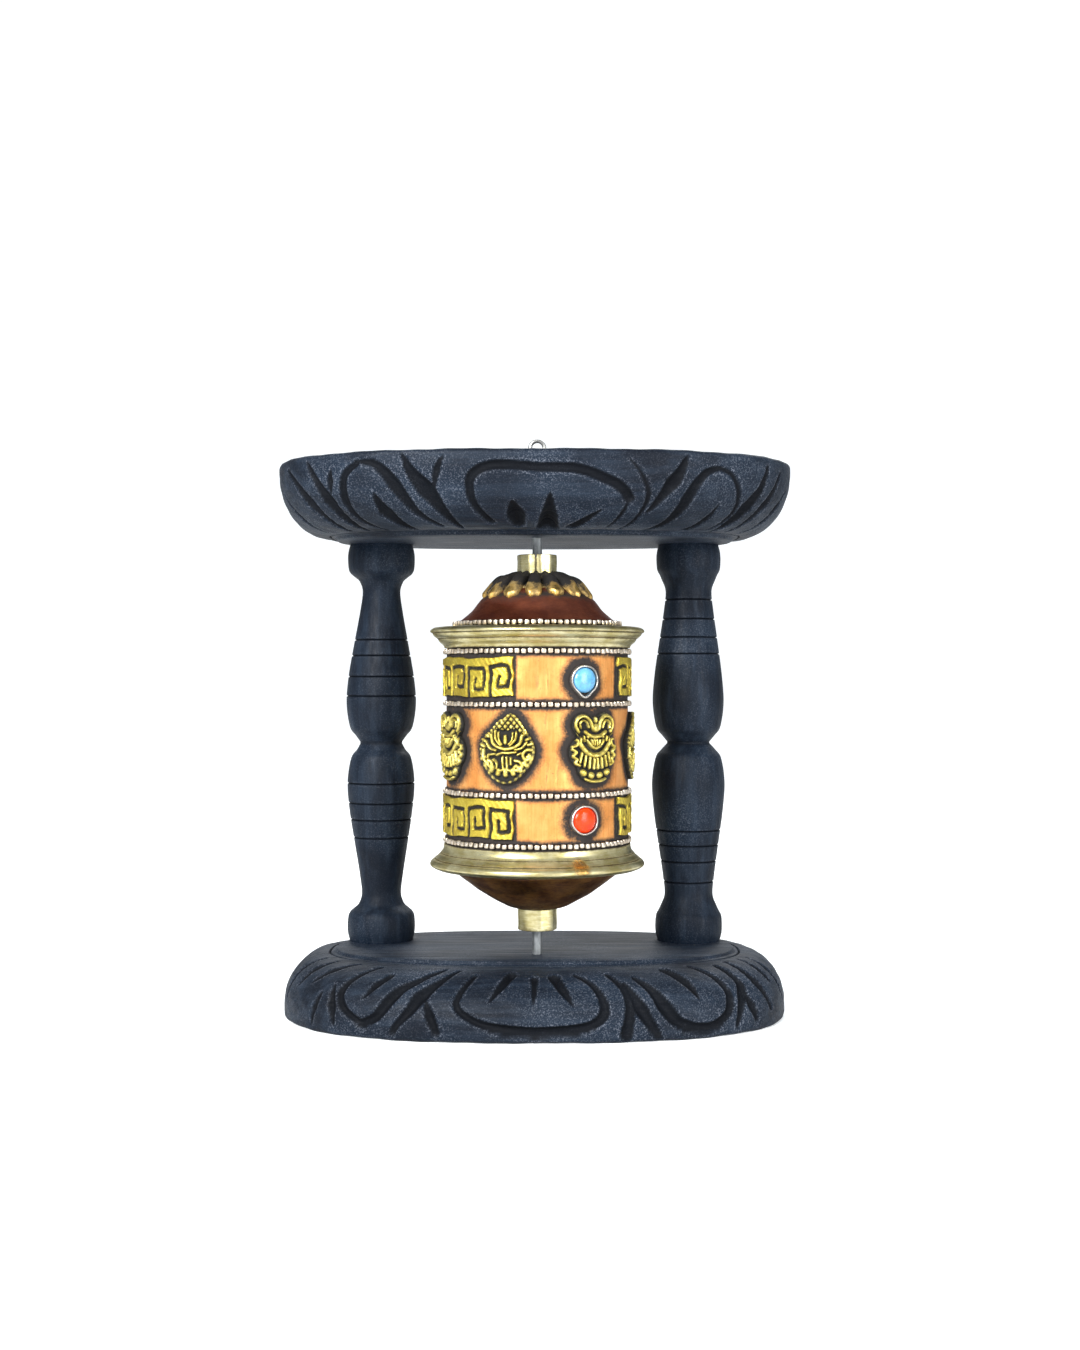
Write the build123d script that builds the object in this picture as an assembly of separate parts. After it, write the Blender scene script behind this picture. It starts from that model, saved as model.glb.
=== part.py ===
"""Tabletop prayer wheel: a copper drum that spins on a fixed spindle in a carved wooden stand.

Millimetres.  The origin is the middle of the base board's underside, +Z is up, +X runs along
the boards and the front of the wheel faces -Y.  The drum hangs in front of the two posts.
Angles round the drum start at its front (-Y) and grow towards +X.
"""
from build123d import *
from math import cos, pi, sin
import os

# ---------------------------------------------------------------- driving dimensions
# Stand
BASE_HEIGHT = 24.0            # base board, underside to flat pad
WINDOW_HEIGHT = 151.5         # clear height between the two boards
TOP_HEIGHT = 27.5             # top board, flat pad to upper face
BASE_HALF_WIDTH = 93.0
TOP_HALF_WIDTH = 95.0
BOARD_HALF_DEPTH = 62.0
BOARD_SQUARENESS = 2.5        # superellipse exponent: 2 is an ellipse, more is squarer
BASE_RIM_HEIGHT = 5.4         # height of the widest line above each board's outer face
TOP_RIM_HEIGHT = 3.4
PAD_HALF_WIDTH = 74.5         # flat pad inside the rounded, carved edge
PAD_HALF_DEPTH = 37.0
PAD_STEP = 1.5                # the pad stands this much above the rounded edge
PAD_BORDER = 3.2              # ledge between the pad and the rounded edge
OUTER_EDGE_ROUND = 1.6
POST_X = 59.0
POST_Y = 14.0                 # the posts stand behind the middle of the boards
TENON_RADIUS = 5.0
TENON_LENGTH = 13.0
GLUE_GAP = 0.05

# Spindle and its fittings
DRUM_X = 1.0                  # the drum's axis is a little right of the middle of the boards
DRUM_Y = -20.0                # and well in front of it
SPINDLE_RADIUS = 1.75
SPINDLE_SOCKET = 13.0
RUNNING_CLEARANCE = 0.05      # radial, between the spindle and each bush
STOP_BOTTOM = 33.7
STOP_THICKNESS = 1.6
STOP_RADIUS = 4.2
WASHER_THICKNESS = 0.8
WASHER_RADIUS = 4.8
EYE_WIRE_RADIUS = 0.72
EYE_RING_RADIUS = 2.6
EYE_NECK = 2.6
EYE_SHANK = 9.0

# Drum
SHEET = 0.8                   # copper sheet
DRUM_RADIUS = 33.0
BODY_BOTTOM = 57.0
BODY_TOP = 141.4
FLANGE_TOP = 143.0
FLANGE_BOTTOM = 55.6
UPPER_FLANGE_RADIUS = 39.0
LOWER_FLANGE_RADIUS = 39.0
FLANGE_INNER_RADIUS = 28.4
BEAD_HEIGHTS = (134.0, 115.4, 83.8, 66.2)
BEAD_WIRE = 2.1               # height of a bead wire
BEAD_STAND = 1.4              # how far a bead wire stands off the sheet
DOME_BEAD_HEIGHT = 144.15     # middle of the bead wire that rings the dome's foot
DOME_FOOT_RADIUS = 29.5
DOME_TOP = 159.6
BOWL_RIM_RADIUS = 31.3
BOWL_BOTTOM = 40.9
COLLAR_WALL = 0.9
UPPER_COLLAR_RADIUS = 7.2
UPPER_COLLAR_TOP = 169.2
UPPER_COLLAR_BOTTOM = 156.0
COLLAR_SEAM = 0.4
LOWER_COLLAR_RADIUS = 7.1
LOWER_COLLAR_TOP = 44.0
LOWER_COLLAR_BOTTOM = 33.1
CROWN_TOP = 163.4
CROWN_TIP_RADIUS = 20.4
CROWN_TIP_HEIGHT = 153.2
CROWN_PETALS = 14
CORE_RADIUS = 3.3
CORE_WALL = 0.8
SCROLL_RADIUS = 31.0
SCROLL_BOTTOM = 63.0
SCROLL_TOP = 133.0

# Ornament on the drum
PLAQUE_THICKNESS = 1.2
PLAQUE_STARTS = (-127.0, 57.0)
PLAQUE_ARC = 113.0
UPPER_PLAQUE = (118.0, 131.8)     # bottom and top
LOWER_PLAQUE = (68.7, 82.4)
STONE_ANGLES = (29.0, 209.0)
STONE_RADIUS = 5.2
BEZEL_WALL = 0.8
BEZEL_STAND = 1.9
STONE_STAND = 2.7
TURQUOISE_HEIGHT = 123.9
CORAL_HEIGHT = 75.2
MEDALLION_HEIGHT = 100.3
MEDALLION_STAND = 2.6
LOTUS_ANGLES = (-18.5, 85.0, 169.0, 253.0)     # placed by eye, not evenly
VASE_ANGLES = (36.0, 127.0, 211.0, 294.6)
MEDALLION_HALF_WIDTH = 10.1
MEDALLION_HALF_HEIGHT = 12.4

# Derived heights
WINDOW_TOP = BASE_HEIGHT + WINDOW_HEIGHT
TOTAL_HEIGHT = WINDOW_TOP + TOP_HEIGHT


# ---------------------------------------------------------------- helpers
def save(node, shape):
    """Write one sub-part."""
    export_step(shape, f"parts/{node}.step")


def on_drum_axis(shape):
    """Move a piece, or a list of like pieces, from the origin's Z axis onto the drum's axis."""
    if isinstance(shape, list):
        return Compound(children=[Pos(DRUM_X, DRUM_Y, 0) * each for each in shape])
    return Pos(DRUM_X, DRUM_Y, 0) * shape


def superellipse(half_width, half_depth, count=40):
    """Closed oval outline; BOARD_SQUARENESS sets how square its shoulders are."""
    power = 2 / BOARD_SQUARENESS
    points = []
    for i in range(count):
        angle = 2 * pi * i / count
        across = abs(cos(angle)) ** power
        along = abs(sin(angle)) ** power
        x = half_width * (across if cos(angle) >= 0 else -across)
        y = half_depth * (along if sin(angle) >= 0 else -along)
        points.append((x, y))
    return make_face(Spline(*points, periodic=True))


def turned(*edges):
    """Solid of revolution from a closed outline drawn as (radius, height)."""
    return revolve(Plane.XZ * make_face(edges), axis=Axis.Z)


def turned_polygon(*points):
    return turned(Polyline(*points, close=True))


def tube(radius, wall, bottom, top):
    return turned_polygon(
        (radius - wall, bottom), (radius, bottom), (radius, top), (radius - wall, top)
    )


def rod(radius, bottom, top):
    return Pos(0, 0, bottom) * Cylinder(radius, top - bottom, align=(Align.CENTER, Align.CENTER, Align.MIN))


def drum_plane(angle, height):
    """Sketch plane through the drum's axis, facing out at this angle, with its Y axis up."""
    a = angle * pi / 180
    return Plane(origin=(0, 0, height), x_dir=(cos(a), sin(a), 0), z_dir=(sin(a), -cos(a), 0))


def raised_on_drum(outline, angle, height, stand):
    """An outline that stands off the drum's sheet, following its curve."""
    block = extrude(drum_plane(angle, height) * outline, DRUM_RADIUS + 10)
    return block & tube(DRUM_RADIUS + stand, stand, height - 20, height + 20)


# ---------------------------------------------------------------- stand
def carved_board(half_width, thickness, rim_height):
    """Oval board, outer face down: a quarter-ellipse edge rises to a ledge and a raised pad."""
    shoulder = thickness - PAD_STEP
    ledge_width = PAD_HALF_WIDTH + PAD_BORDER
    ledge_depth = PAD_HALF_DEPTH + PAD_BORDER
    rounded = []
    for step in range(7):
        rise = step / 6 * pi / 2
        width = ledge_width + (half_width - ledge_width) * cos(rise)
        depth = ledge_depth + (BOARD_HALF_DEPTH - ledge_depth) * cos(rise)
        level = rim_height + (shoulder - rim_height) * sin(rise)
        rounded.append(Pos(0, 0, level) * superellipse(width, depth))
    edge = loft(rounded)
    foot = extrude(superellipse(half_width, BOARD_HALF_DEPTH), rim_height)
    foot = fillet(foot.edges().group_by(Axis.Z)[0], OUTER_EDGE_ROUND)
    pad = extrude(superellipse(PAD_HALF_WIDTH, PAD_HALF_DEPTH), thickness)
    return foot + edge + pad


def board_sockets(pad_height, direction):
    """Blind holes for the two post tenons and the spindle, entering the board at its pad."""
    holes = []
    places = [
        (-POST_X, POST_Y, TENON_RADIUS, TENON_LENGTH + 1),
        (POST_X, POST_Y, TENON_RADIUS, TENON_LENGTH + 1),
        (DRUM_X, DRUM_Y, SPINDLE_RADIUS, SPINDLE_SOCKET),
    ]
    for x, y, radius, depth in places:
        ends = sorted((pad_height, pad_height + direction * depth))
        holes.append(Pos(x, y, 0) * rod(radius + GLUE_GAP, ends[0], ends[1]))
    return holes


def base_board():
    return carved_board(BASE_HALF_WIDTH, BASE_HEIGHT, BASE_RIM_HEIGHT) - board_sockets(BASE_HEIGHT, -1)


def top_board():
    board = carved_board(TOP_HALF_WIDTH, TOP_HEIGHT, TOP_RIM_HEIGHT)
    board = Pos(0, 0, TOTAL_HEIGHT) * Rot(180, 0, 0) * board
    pilot = on_drum_axis(rod(EYE_WIRE_RADIUS + GLUE_GAP, TOTAL_HEIGHT - EYE_SHANK, TOTAL_HEIGHT + 1))
    return board - board_sockets(WINDOW_TOP, 1) - pilot


def half_post(cap_radius, neck_radius, belly_radius, waist_radius, sign):
    """One vase of the post, as (radius, height) edges from the waist out to the board."""
    middle = BASE_HEIGHT + WINDOW_HEIGHT / 2
    end = WINDOW_HEIGHT / 2

    def at(radius, share):
        return (radius, middle + sign * share * end)

    taper = belly_radius - neck_radius
    vase = Spline(
        at(waist_radius, 0), at(belly_radius - 1.6, 0.07), at(belly_radius, 0.2),
        at(neck_radius + 0.52 * taper, 0.5), at(neck_radius, 0.765), at(neck_radius + 1.3, 0.82),
        tangents=[(1, sign * 0.4), (1, sign * 1.2)],
    )
    cap = Spline(
        at(cap_radius - 1.0, 0.855), at(cap_radius, 0.92), at(cap_radius - 0.5, 1),
    )
    return [vase, Line(vase @ 1, cap @ 0), cap]


def post(upper, lower, waist):
    """Turned double-vase post with a round tenon at each end; sizes are radii."""
    top = half_post(*upper, waist, 1)
    bottom = half_post(*lower, waist, -1)
    highest = WINDOW_TOP + TENON_LENGTH
    lowest = BASE_HEIGHT - TENON_LENGTH
    tenons = Polyline(
        top[-1] @ 1, (TENON_RADIUS, WINDOW_TOP), (TENON_RADIUS, highest), (0, highest),
        (0, lowest), (TENON_RADIUS, lowest), (TENON_RADIUS, BASE_HEIGHT), bottom[-1] @ 1,
    )
    return turned(*top, tenons, *bottom)


def left_post():
    return Pos(-POST_X, POST_Y, 0) * post((12.8, 7.2, 13.3), (12.9, 7.5, 12.8), 7.8)


def right_post():
    return Pos(POST_X, POST_Y, 0) * post((12.3, 8.8, 13.6), (12.8, 9.2, 13.9), 7.8)


def spindle():
    return rod(SPINDLE_RADIUS, BASE_HEIGHT - SPINDLE_SOCKET, WINDOW_TOP + SPINDLE_SOCKET)


def spindle_stop():
    return tube(STOP_RADIUS, STOP_RADIUS - SPINDLE_RADIUS, STOP_BOTTOM, STOP_BOTTOM + STOP_THICKNESS)


def thrust_washer():
    bottom = STOP_BOTTOM + STOP_THICKNESS
    bore = SPINDLE_RADIUS + RUNNING_CLEARANCE
    return tube(WASHER_RADIUS, WASHER_RADIUS - bore, bottom, bottom + WASHER_THICKNESS)


def hanging_eye():
    """Small screw eye: a wire ring on a shank that goes into the top board."""
    centre = TOTAL_HEIGHT + EYE_NECK + EYE_RING_RADIUS
    ring = Pos(0, 0, centre) * Rot(90, 0, 0) * Torus(EYE_RING_RADIUS, EYE_WIRE_RADIUS)
    shank = rod(EYE_WIRE_RADIUS, TOTAL_HEIGHT - EYE_SHANK, centre - EYE_RING_RADIUS)
    return ring + shank


# ---------------------------------------------------------------- drum, turned and spun parts
def drum_shell():
    return tube(DRUM_RADIUS, SHEET, BODY_BOTTOM, BODY_TOP)


def upper_flange():
    """Brass ring over the shell's top edge: a flat web, a rolled lip and a cavetto under it."""
    lip = UPPER_FLANGE_RADIUS
    return turned(
        Polyline(
            (DRUM_RADIUS, 135.4), (DRUM_RADIUS, BODY_TOP), (FLANGE_INNER_RADIUS, BODY_TOP),
            (FLANGE_INNER_RADIUS, FLANGE_TOP), (lip - 1.6, FLANGE_TOP),
        ),
        ThreePointArc((lip - 1.6, FLANGE_TOP), (lip, 141.2), (lip - 0.6, 139.4)),
        ThreePointArc((lip - 0.6, 139.4), (DRUM_RADIUS + 2.4, 137.8), (DRUM_RADIUS + 0.7, 135.4)),
        Line((DRUM_RADIUS + 0.7, 135.4), (DRUM_RADIUS, 135.4)),
    )


def lower_flange():
    """Brass ring under the shell: a cavetto down to a wide sloping lip, and a flat web."""
    lip = LOWER_FLANGE_RADIUS
    return turned(
        Polyline(
            (DRUM_RADIUS, 64.6), (DRUM_RADIUS, BODY_BOTTOM), (FLANGE_INNER_RADIUS, BODY_BOTTOM),
            (FLANGE_INNER_RADIUS, FLANGE_BOTTOM), (lip - 2.2, FLANGE_BOTTOM), (lip, 57.2),
        ),
        ThreePointArc((lip, 57.2), (DRUM_RADIUS + 2.6, 60.0), (DRUM_RADIUS + 0.9, 64.6)),
        Line((DRUM_RADIUS + 0.9, 64.6), (DRUM_RADIUS, 64.6)),
    )


def dome_outline():
    """Outside of the dome, from the upper collar down to its foot, as (radius, height)."""
    return Spline(
        (UPPER_COLLAR_RADIUS, DOME_TOP), (20.2, 153.2), (24.2, 148.4), (DOME_FOOT_RADIUS, FLANGE_TOP + SHEET)
    )


def dome_lid():
    """Bell-shaped copper lid, spun from sheet, with a turned-out foot on the upper flange."""
    bore = UPPER_COLLAR_RADIUS
    outer = dome_outline()
    inner = Spline(
        (bore, DOME_TOP - SHEET), (19.9, 152.3), (23.5, 147.9), (DOME_FOOT_RADIUS - 1.0, FLANGE_TOP)
    )
    return turned(
        outer, Line(outer @ 1, (DOME_FOOT_RADIUS, FLANGE_TOP)), Line((DOME_FOOT_RADIUS, FLANGE_TOP), inner @ 1),
        inner, Line(inner @ 0, outer @ 0),
    )


def lower_bowl():
    """Copper bowl that closes the bottom of the drum and narrows to the lower collar."""
    bore = LOWER_COLLAR_RADIUS
    rim = BOWL_RIM_RADIUS
    outer = Spline((rim, FLANGE_BOTTOM), (26.3, 51.4), (18.5, 45.9), (bore, BOWL_BOTTOM))
    inner = Spline((rim - SHEET, FLANGE_BOTTOM), (25.9, 52.2), (18.2, 46.8), (bore, BOWL_BOTTOM + SHEET))
    return turned(outer, Line(outer @ 1, inner @ 1), inner, Line(inner @ 0, outer @ 0))


def upper_collar():
    """Short tube rolled from brass sheet, with its open seam at the front."""
    collar = tube(UPPER_COLLAR_RADIUS, COLLAR_WALL, UPPER_COLLAR_BOTTOM, UPPER_COLLAR_TOP)
    seam = Pos(-0.5, -UPPER_COLLAR_RADIUS, CROWN_TOP) * Box(
        COLLAR_SEAM, 3, 20, align=(Align.CENTER, Align.CENTER, Align.MIN)
    )
    return collar - seam


def lower_collar():
    return tube(LOWER_COLLAR_RADIUS, COLLAR_WALL, LOWER_COLLAR_BOTTOM, LOWER_COLLAR_TOP)


def bush(collar_radius, bottom, top):
    """Plain brass bearing that fills a collar and turns on the spindle."""
    outside = collar_radius - COLLAR_WALL
    bore = SPINDLE_RADIUS + RUNNING_CLEARANCE
    return tube(outside, outside - bore, bottom, top)


def upper_bush():
    return bush(UPPER_COLLAR_RADIUS, UPPER_COLLAR_BOTTOM, UPPER_COLLAR_TOP - 1.2)


def lower_bush():
    bottom = STOP_BOTTOM + STOP_THICKNESS + WASHER_THICKNESS + RUNNING_CLEARANCE
    return bush(LOWER_COLLAR_RADIUS, bottom, LOWER_COLLAR_TOP)


def petal_crown():
    """Shallow cone of petals round the upper collar; a notch parts each petal from the next."""
    inner = UPPER_COLLAR_RADIUS
    dome = dome_outline()
    space_below = turned(
        dome, Polyline(dome @ 1, (DOME_FOOT_RADIUS, 0), (inner, 0), dome @ 0),
    )
    cone = turned_polygon(
        (inner, CROWN_TOP), (13.5, CROWN_TOP - 2.6), (CROWN_TIP_RADIUS, CROWN_TIP_HEIGHT + 2.4),
        (CROWN_TIP_RADIUS, CROWN_TIP_HEIGHT - 1), (inner, CROWN_TIP_HEIGHT - 1),
    )
    notch = Pos(CROWN_TIP_RADIUS + 0.6, 0, CROWN_TIP_HEIGHT) * Cylinder(2.0, 12)
    cuts = [Rot(0, 0, 360 * (i + 0.5) / CROWN_PETALS) * notch for i in range(CROWN_PETALS)]
    return cone - space_below - cuts


def bead_wire(radius, height):
    """Half-round wire that lies against a cylinder of this radius."""
    half = BEAD_WIRE / 2
    return turned(
        ThreePointArc((radius, height - half), (radius + BEAD_STAND, height), (radius, height + half)),
        Line((radius, height + half), (radius, height - half)),
    )


def core_tube():
    return tube(CORE_RADIUS, CORE_WALL, LOWER_COLLAR_TOP, UPPER_COLLAR_BOTTOM)


def paper_scroll():
    return tube(SCROLL_RADIUS, SCROLL_RADIUS - CORE_RADIUS, SCROLL_BOTTOM, SCROLL_TOP)


# ---------------------------------------------------------------- drum, ornament
def plaques(bottom, top):
    """Two long brass plates bent round the drum, one on each side."""
    section = Plane.XZ * make_face(
        Polyline(
            (DRUM_RADIUS, bottom), (DRUM_RADIUS + PLAQUE_THICKNESS, bottom),
            (DRUM_RADIUS + PLAQUE_THICKNESS, top), (DRUM_RADIUS, top), close=True,
        )
    )
    plate = revolve(section, axis=Axis.Z, revolution_arc=PLAQUE_ARC)
    return [Rot(0, 0, start - 90) * plate for start in PLAQUE_STARTS]


def teardrop(radius, tip):
    """Circle with a point, tip up; the tip is this far from the circle's centre."""
    reach = radius * radius / tip
    side = (radius * radius - reach * reach) ** 0.5
    point = make_face(Polyline((-side, reach), (side, reach), (0, tip), close=True))
    return Circle(radius) + point


def lotus_outline():
    circle_drop = MEDALLION_HALF_HEIGHT - MEDALLION_HALF_WIDTH
    tip = MEDALLION_HALF_HEIGHT + circle_drop
    return Pos(0, -circle_drop) * teardrop(MEDALLION_HALF_WIDTH, tip)


def vase_outline():
    """Two ribbon loops on top, a wide middle and a narrower lobed foot."""
    loops = [Pos(side * 4.4, 8.0) * Circle(4.4) for side in (-1, 1)]
    middle = Pos(0, -1.6) * Ellipse(MEDALLION_HALF_WIDTH, 7.4)
    foot = Pos(0, -7.2) * Ellipse(6.8, 5.2)
    neck = Pos(0, 4.5) * Rectangle(11, 8)
    return neck + middle + foot + loops


def medallions(outline, angles):
    return [raised_on_drum(outline, angle, MEDALLION_HEIGHT, MEDALLION_STAND) for angle in angles]


def round_outline(radius):
    return Circle(radius)


def pointed_outline(radius):
    return Rot(0, 0, 180) * teardrop(radius, radius * 1.22)


def bezels(outline, height):
    """Brass cups that hold the stones, with a flat lip all round."""
    ring = outline(STONE_RADIUS + BEZEL_WALL) - Circle(STONE_RADIUS)
    cups = []
    for angle in STONE_ANGLES:
        cup = extrude(drum_plane(angle, height) * ring, DRUM_RADIUS + BEZEL_STAND)
        cups.append(cup - rod(DRUM_RADIUS, height - 10, height + 10))
    return cups


def stones(height):
    """Round cabochons with a sloping shoulder, standing a little above their bezels."""
    gems = []
    for angle in STONE_ANGLES:
        face = drum_plane(angle, height)
        foot = extrude(face * Circle(STONE_RADIUS), DRUM_RADIUS + STONE_STAND - 0.9)
        shoulder_face = face.offset(DRUM_RADIUS + STONE_STAND - 0.9) * Circle(STONE_RADIUS)
        shoulder = extrude(shoulder_face, 0.9, taper=45)
        gems.append((foot + shoulder) - rod(DRUM_RADIUS, height - 10, height + 10))
    return gems


# ---------------------------------------------------------------- build
os.makedirs("parts", exist_ok=True)

save("base_board", base_board())
save("top_board", top_board())
save("left_post", left_post())
save("right_post", right_post())

on_axis = {
    "spindle": spindle(),
    "spindle_stop": spindle_stop(),
    "thrust_washer": thrust_washer(),
    "hanging_eye": hanging_eye(),
    "drum_shell": drum_shell(),
    "upper_flange": upper_flange(),
    "lower_flange": lower_flange(),
    "dome_lid": dome_lid(),
    "lower_bowl": lower_bowl(),
    "upper_collar": upper_collar(),
    "lower_collar": lower_collar(),
    "upper_bush": upper_bush(),
    "lower_bush": lower_bush(),
    "petal_crown": petal_crown(),
    "dome_bead_wire": bead_wire(DOME_FOOT_RADIUS, DOME_BEAD_HEIGHT),
    "core_tube": core_tube(),
    "paper_scroll": paper_scroll(),
    "upper_plaques": plaques(*UPPER_PLAQUE),
    "lower_plaques": plaques(*LOWER_PLAQUE),
    "lotus_medallions": medallions(lotus_outline(), LOTUS_ANGLES),
    "vase_medallions": medallions(vase_outline(), VASE_ANGLES),
    "turquoise_bezels": bezels(pointed_outline, TURQUOISE_HEIGHT),
    "turquoise_stones": stones(TURQUOISE_HEIGHT),
    "coral_bezels": bezels(round_outline, CORAL_HEIGHT),
    "coral_stones": stones(CORAL_HEIGHT),
}
for number, height in enumerate(BEAD_HEIGHTS, start=1):
    on_axis[f"bead_wire_{number}"] = bead_wire(DRUM_RADIUS, height)
for node, shape in on_axis.items():
    save(node, on_drum_axis(shape))
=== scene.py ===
# %% [markdown]
# # A tabletop prayer wheel
# A copper drum turns on a steel spindle between two carved, black-stained boards. The CAD
# model fixes every size and place. This lesson makes the surfaces that a hand would feel:
# gouged petals, turned posts, pearled wire, cast brass relief and spun copper.
# We load the CAD model first; the boxes of its parts give the main sizes.

# %% Load the frame
import math
import random
from math import cos, pi, radians, sin

import bmesh
import bpy
import numpy as np
from mathutils import Matrix, Vector


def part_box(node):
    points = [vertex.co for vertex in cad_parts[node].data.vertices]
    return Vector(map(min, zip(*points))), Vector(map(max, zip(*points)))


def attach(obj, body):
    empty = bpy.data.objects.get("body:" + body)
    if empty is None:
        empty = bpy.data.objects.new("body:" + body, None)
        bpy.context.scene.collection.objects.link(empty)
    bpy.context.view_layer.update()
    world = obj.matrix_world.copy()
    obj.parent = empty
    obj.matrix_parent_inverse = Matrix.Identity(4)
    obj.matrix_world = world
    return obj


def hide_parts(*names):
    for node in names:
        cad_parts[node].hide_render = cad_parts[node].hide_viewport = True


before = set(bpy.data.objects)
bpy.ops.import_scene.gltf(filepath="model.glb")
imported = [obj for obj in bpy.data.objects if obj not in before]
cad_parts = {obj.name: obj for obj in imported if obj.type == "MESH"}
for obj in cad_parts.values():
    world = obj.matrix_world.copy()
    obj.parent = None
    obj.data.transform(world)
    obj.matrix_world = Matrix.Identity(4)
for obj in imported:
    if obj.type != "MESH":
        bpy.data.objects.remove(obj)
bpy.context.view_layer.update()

# %% [markdown]
# We model in millimetres, as the maker would measure, and shrink each mesh to metres when it
# is finished. Heights and radii come from the CAD nodes, so nothing has to be fitted later.

# %% Measures taken from the frame
MM = 0.001


def span(node):
    """Lowest and highest corner of a CAD node, in millimetres."""
    low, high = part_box(node)
    return Vector(low) / MM, Vector(high) / MM


shell_low, shell_high = span("drum_shell")
DRUM_AXIS = (shell_low + shell_high) / 2 * Vector((1, 1, 0))
DRUM_RADIUS = (shell_high.x - shell_low.x) / 2
BASE_TOP = span("base_board")[1].z
WINDOW_TOP = span("top_board")[0].z
TOTAL_HEIGHT = span("top_board")[1].z
print(
    f"drum radius {DRUM_RADIUS:.1f} mm, axis at {tuple(DRUM_AXIS.xy)}, stand {TOTAL_HEIGHT:.1f} mm tall"
)

# %% [markdown]
# The camera stands level, a little over half a metre in front, at about the height of the
# drum. A long lens keeps the posts upright. It is made first, so that every later step can be
# looked at as soon as it is done.

# %% Camera
camera_data = bpy.data.cameras.new("camera")
camera_data.sensor_width = 36
camera_data.lens = 45.3
camera = bpy.data.objects.new("camera", camera_data)
camera.location = (0.002, -0.639, 0.1256)
camera.rotation_euler = (radians(90), 0, 0)
bpy.context.collection.objects.link(camera)
scene = bpy.context.scene
scene.camera = camera
scene.view_settings.view_transform = "Standard"

# %% [markdown]
# A white sweep: the floor runs back and curves up into a wall with no corner, as paper does in
# a studio. Spinning a short line a quarter turn makes the curve.

# %% Floor
def make_sweep():
    bm = bmesh.new()
    near = [bm.verts.new((x, -2.0, 0)) for x in (-4, 4)]
    start = [bm.verts.new((x, 1.2, 0)) for x in (-4, 4)]
    bm.faces.new((near[0], near[1], start[1], start[0]))
    edge = bm.edges.get(start)
    turn = bmesh.ops.spin(
        bm, geom=[edge, *start], cent=(0, 1.2, 0.8), axis=(1, 0, 0), angle=radians(90), steps=24
    )
    last = [item for item in turn["geom_last"] if isinstance(item, bmesh.types.BMEdge)]
    top = bmesh.ops.extrude_edge_only(bm, edges=last)
    raised = [item for item in top["geom"] if isinstance(item, bmesh.types.BMVert)]
    bmesh.ops.translate(bm, vec=(0, 0, 3), verts=raised)
    bmesh.ops.recalc_face_normals(bm, faces=bm.faces)
    mesh = bpy.data.meshes.new("sweep")
    bm.to_mesh(mesh)
    bm.free()
    for polygon in mesh.polygons:
        polygon.use_smooth = True
    sweep = bpy.data.objects.new("sweep", mesh)
    bpy.context.collection.objects.link(sweep)
    return sweep


sweep = make_sweep()
print("sweep faces:", len(sweep.data.polygons))

# %% [markdown]
# Soft light from all round makes the paper white, and three large lamps shape the object: one
# high in front on the left, one lower on the right and one from behind that draws the rims.

# %% Light
ROOM_LIGHT = 0.42
world = bpy.data.worlds.new("studio")
scene.world = world
world.use_nodes = True
world.node_tree.nodes["Background"].inputs["Color"].default_value = (0.93, 0.97, 1.0, 1)
world.node_tree.nodes["Background"].inputs["Strength"].default_value = ROOM_LIGHT


def add_lamp(name, place, target, size, power):
    data = bpy.data.lights.new(name, "AREA")
    data.shape = "RECTANGLE"
    data.size, data.size_y = size
    data.energy = power
    lamp = bpy.data.objects.new(name, data)
    lamp.location = place
    lamp.rotation_euler = (Vector(target) - Vector(place)).to_track_quat("-Z", "Y").to_euler()
    bpy.context.collection.objects.link(lamp)
    return lamp


middle = (0, 0, 0.1)
add_lamp("key_lamp", (-0.45, -0.85, 0.60), middle, (0.45, 0.45), 16)
add_lamp("fill_lamp", (0.75, -0.75, 0.30), middle, (0.4, 0.7), 7)
add_lamp("rim_lamp", (0.1, 0.9, 0.9), middle, (1.2, 0.4), 9)

# %% [markdown]
# Materials are small node graphs. Three helpers keep the graphs readable: one adds a node and
# wires its inputs, one mixes two colours, one does arithmetic.

# %% Node helpers
def add_node(tree, kind, wires=None, **settings):
    """Adds a node. wires maps an input to a value or to another node's output."""
    made = tree.nodes.new(kind)
    for key, value in settings.items():
        setattr(made, key, value)
    for key, value in (wires or {}).items():
        if isinstance(value, bpy.types.NodeSocket):
            tree.links.new(value, made.inputs[key])
        else:
            made.inputs[key].default_value = value
    return made


def mix_colour(tree, factor, first, second, blend="MIX"):
    made = add_node(
        tree, "ShaderNodeMix", {0: factor, 6: first, 7: second}, data_type="RGBA", blend_type=blend
    )
    return made.outputs[2]


def calculate(tree, operation, first, second=0.0, clamp=False):
    made = add_node(tree, "ShaderNodeMath", {0: first, 1: second}, operation=operation, use_clamp=clamp)
    return made.outputs[0]


def remap(tree, value, low, high, to_low=0.0, to_high=1.0):
    """Stretches low..high to to_low..to_high, and holds it there outside."""
    made = add_node(
        tree, "ShaderNodeMapRange",
        {"Value": value, "From Min": low, "From Max": high, "To Min": to_low, "To Max": to_high},
    )
    return made.outputs["Result"]


def noise(tree, vector, scale, detail=4.0, roughness=0.6):
    made = add_node(
        tree, "ShaderNodeTexNoise",
        {"Vector": vector, "Scale": scale, "Detail": detail, "Roughness": roughness},
    )
    return made.outputs["Fac"]


def stretched(tree, vector, stretch):
    """The same coordinates, squeezed or stretched along each axis."""
    return add_node(tree, "ShaderNodeMapping", {"Vector": vector, "Scale": stretch}).outputs[0]


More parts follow.
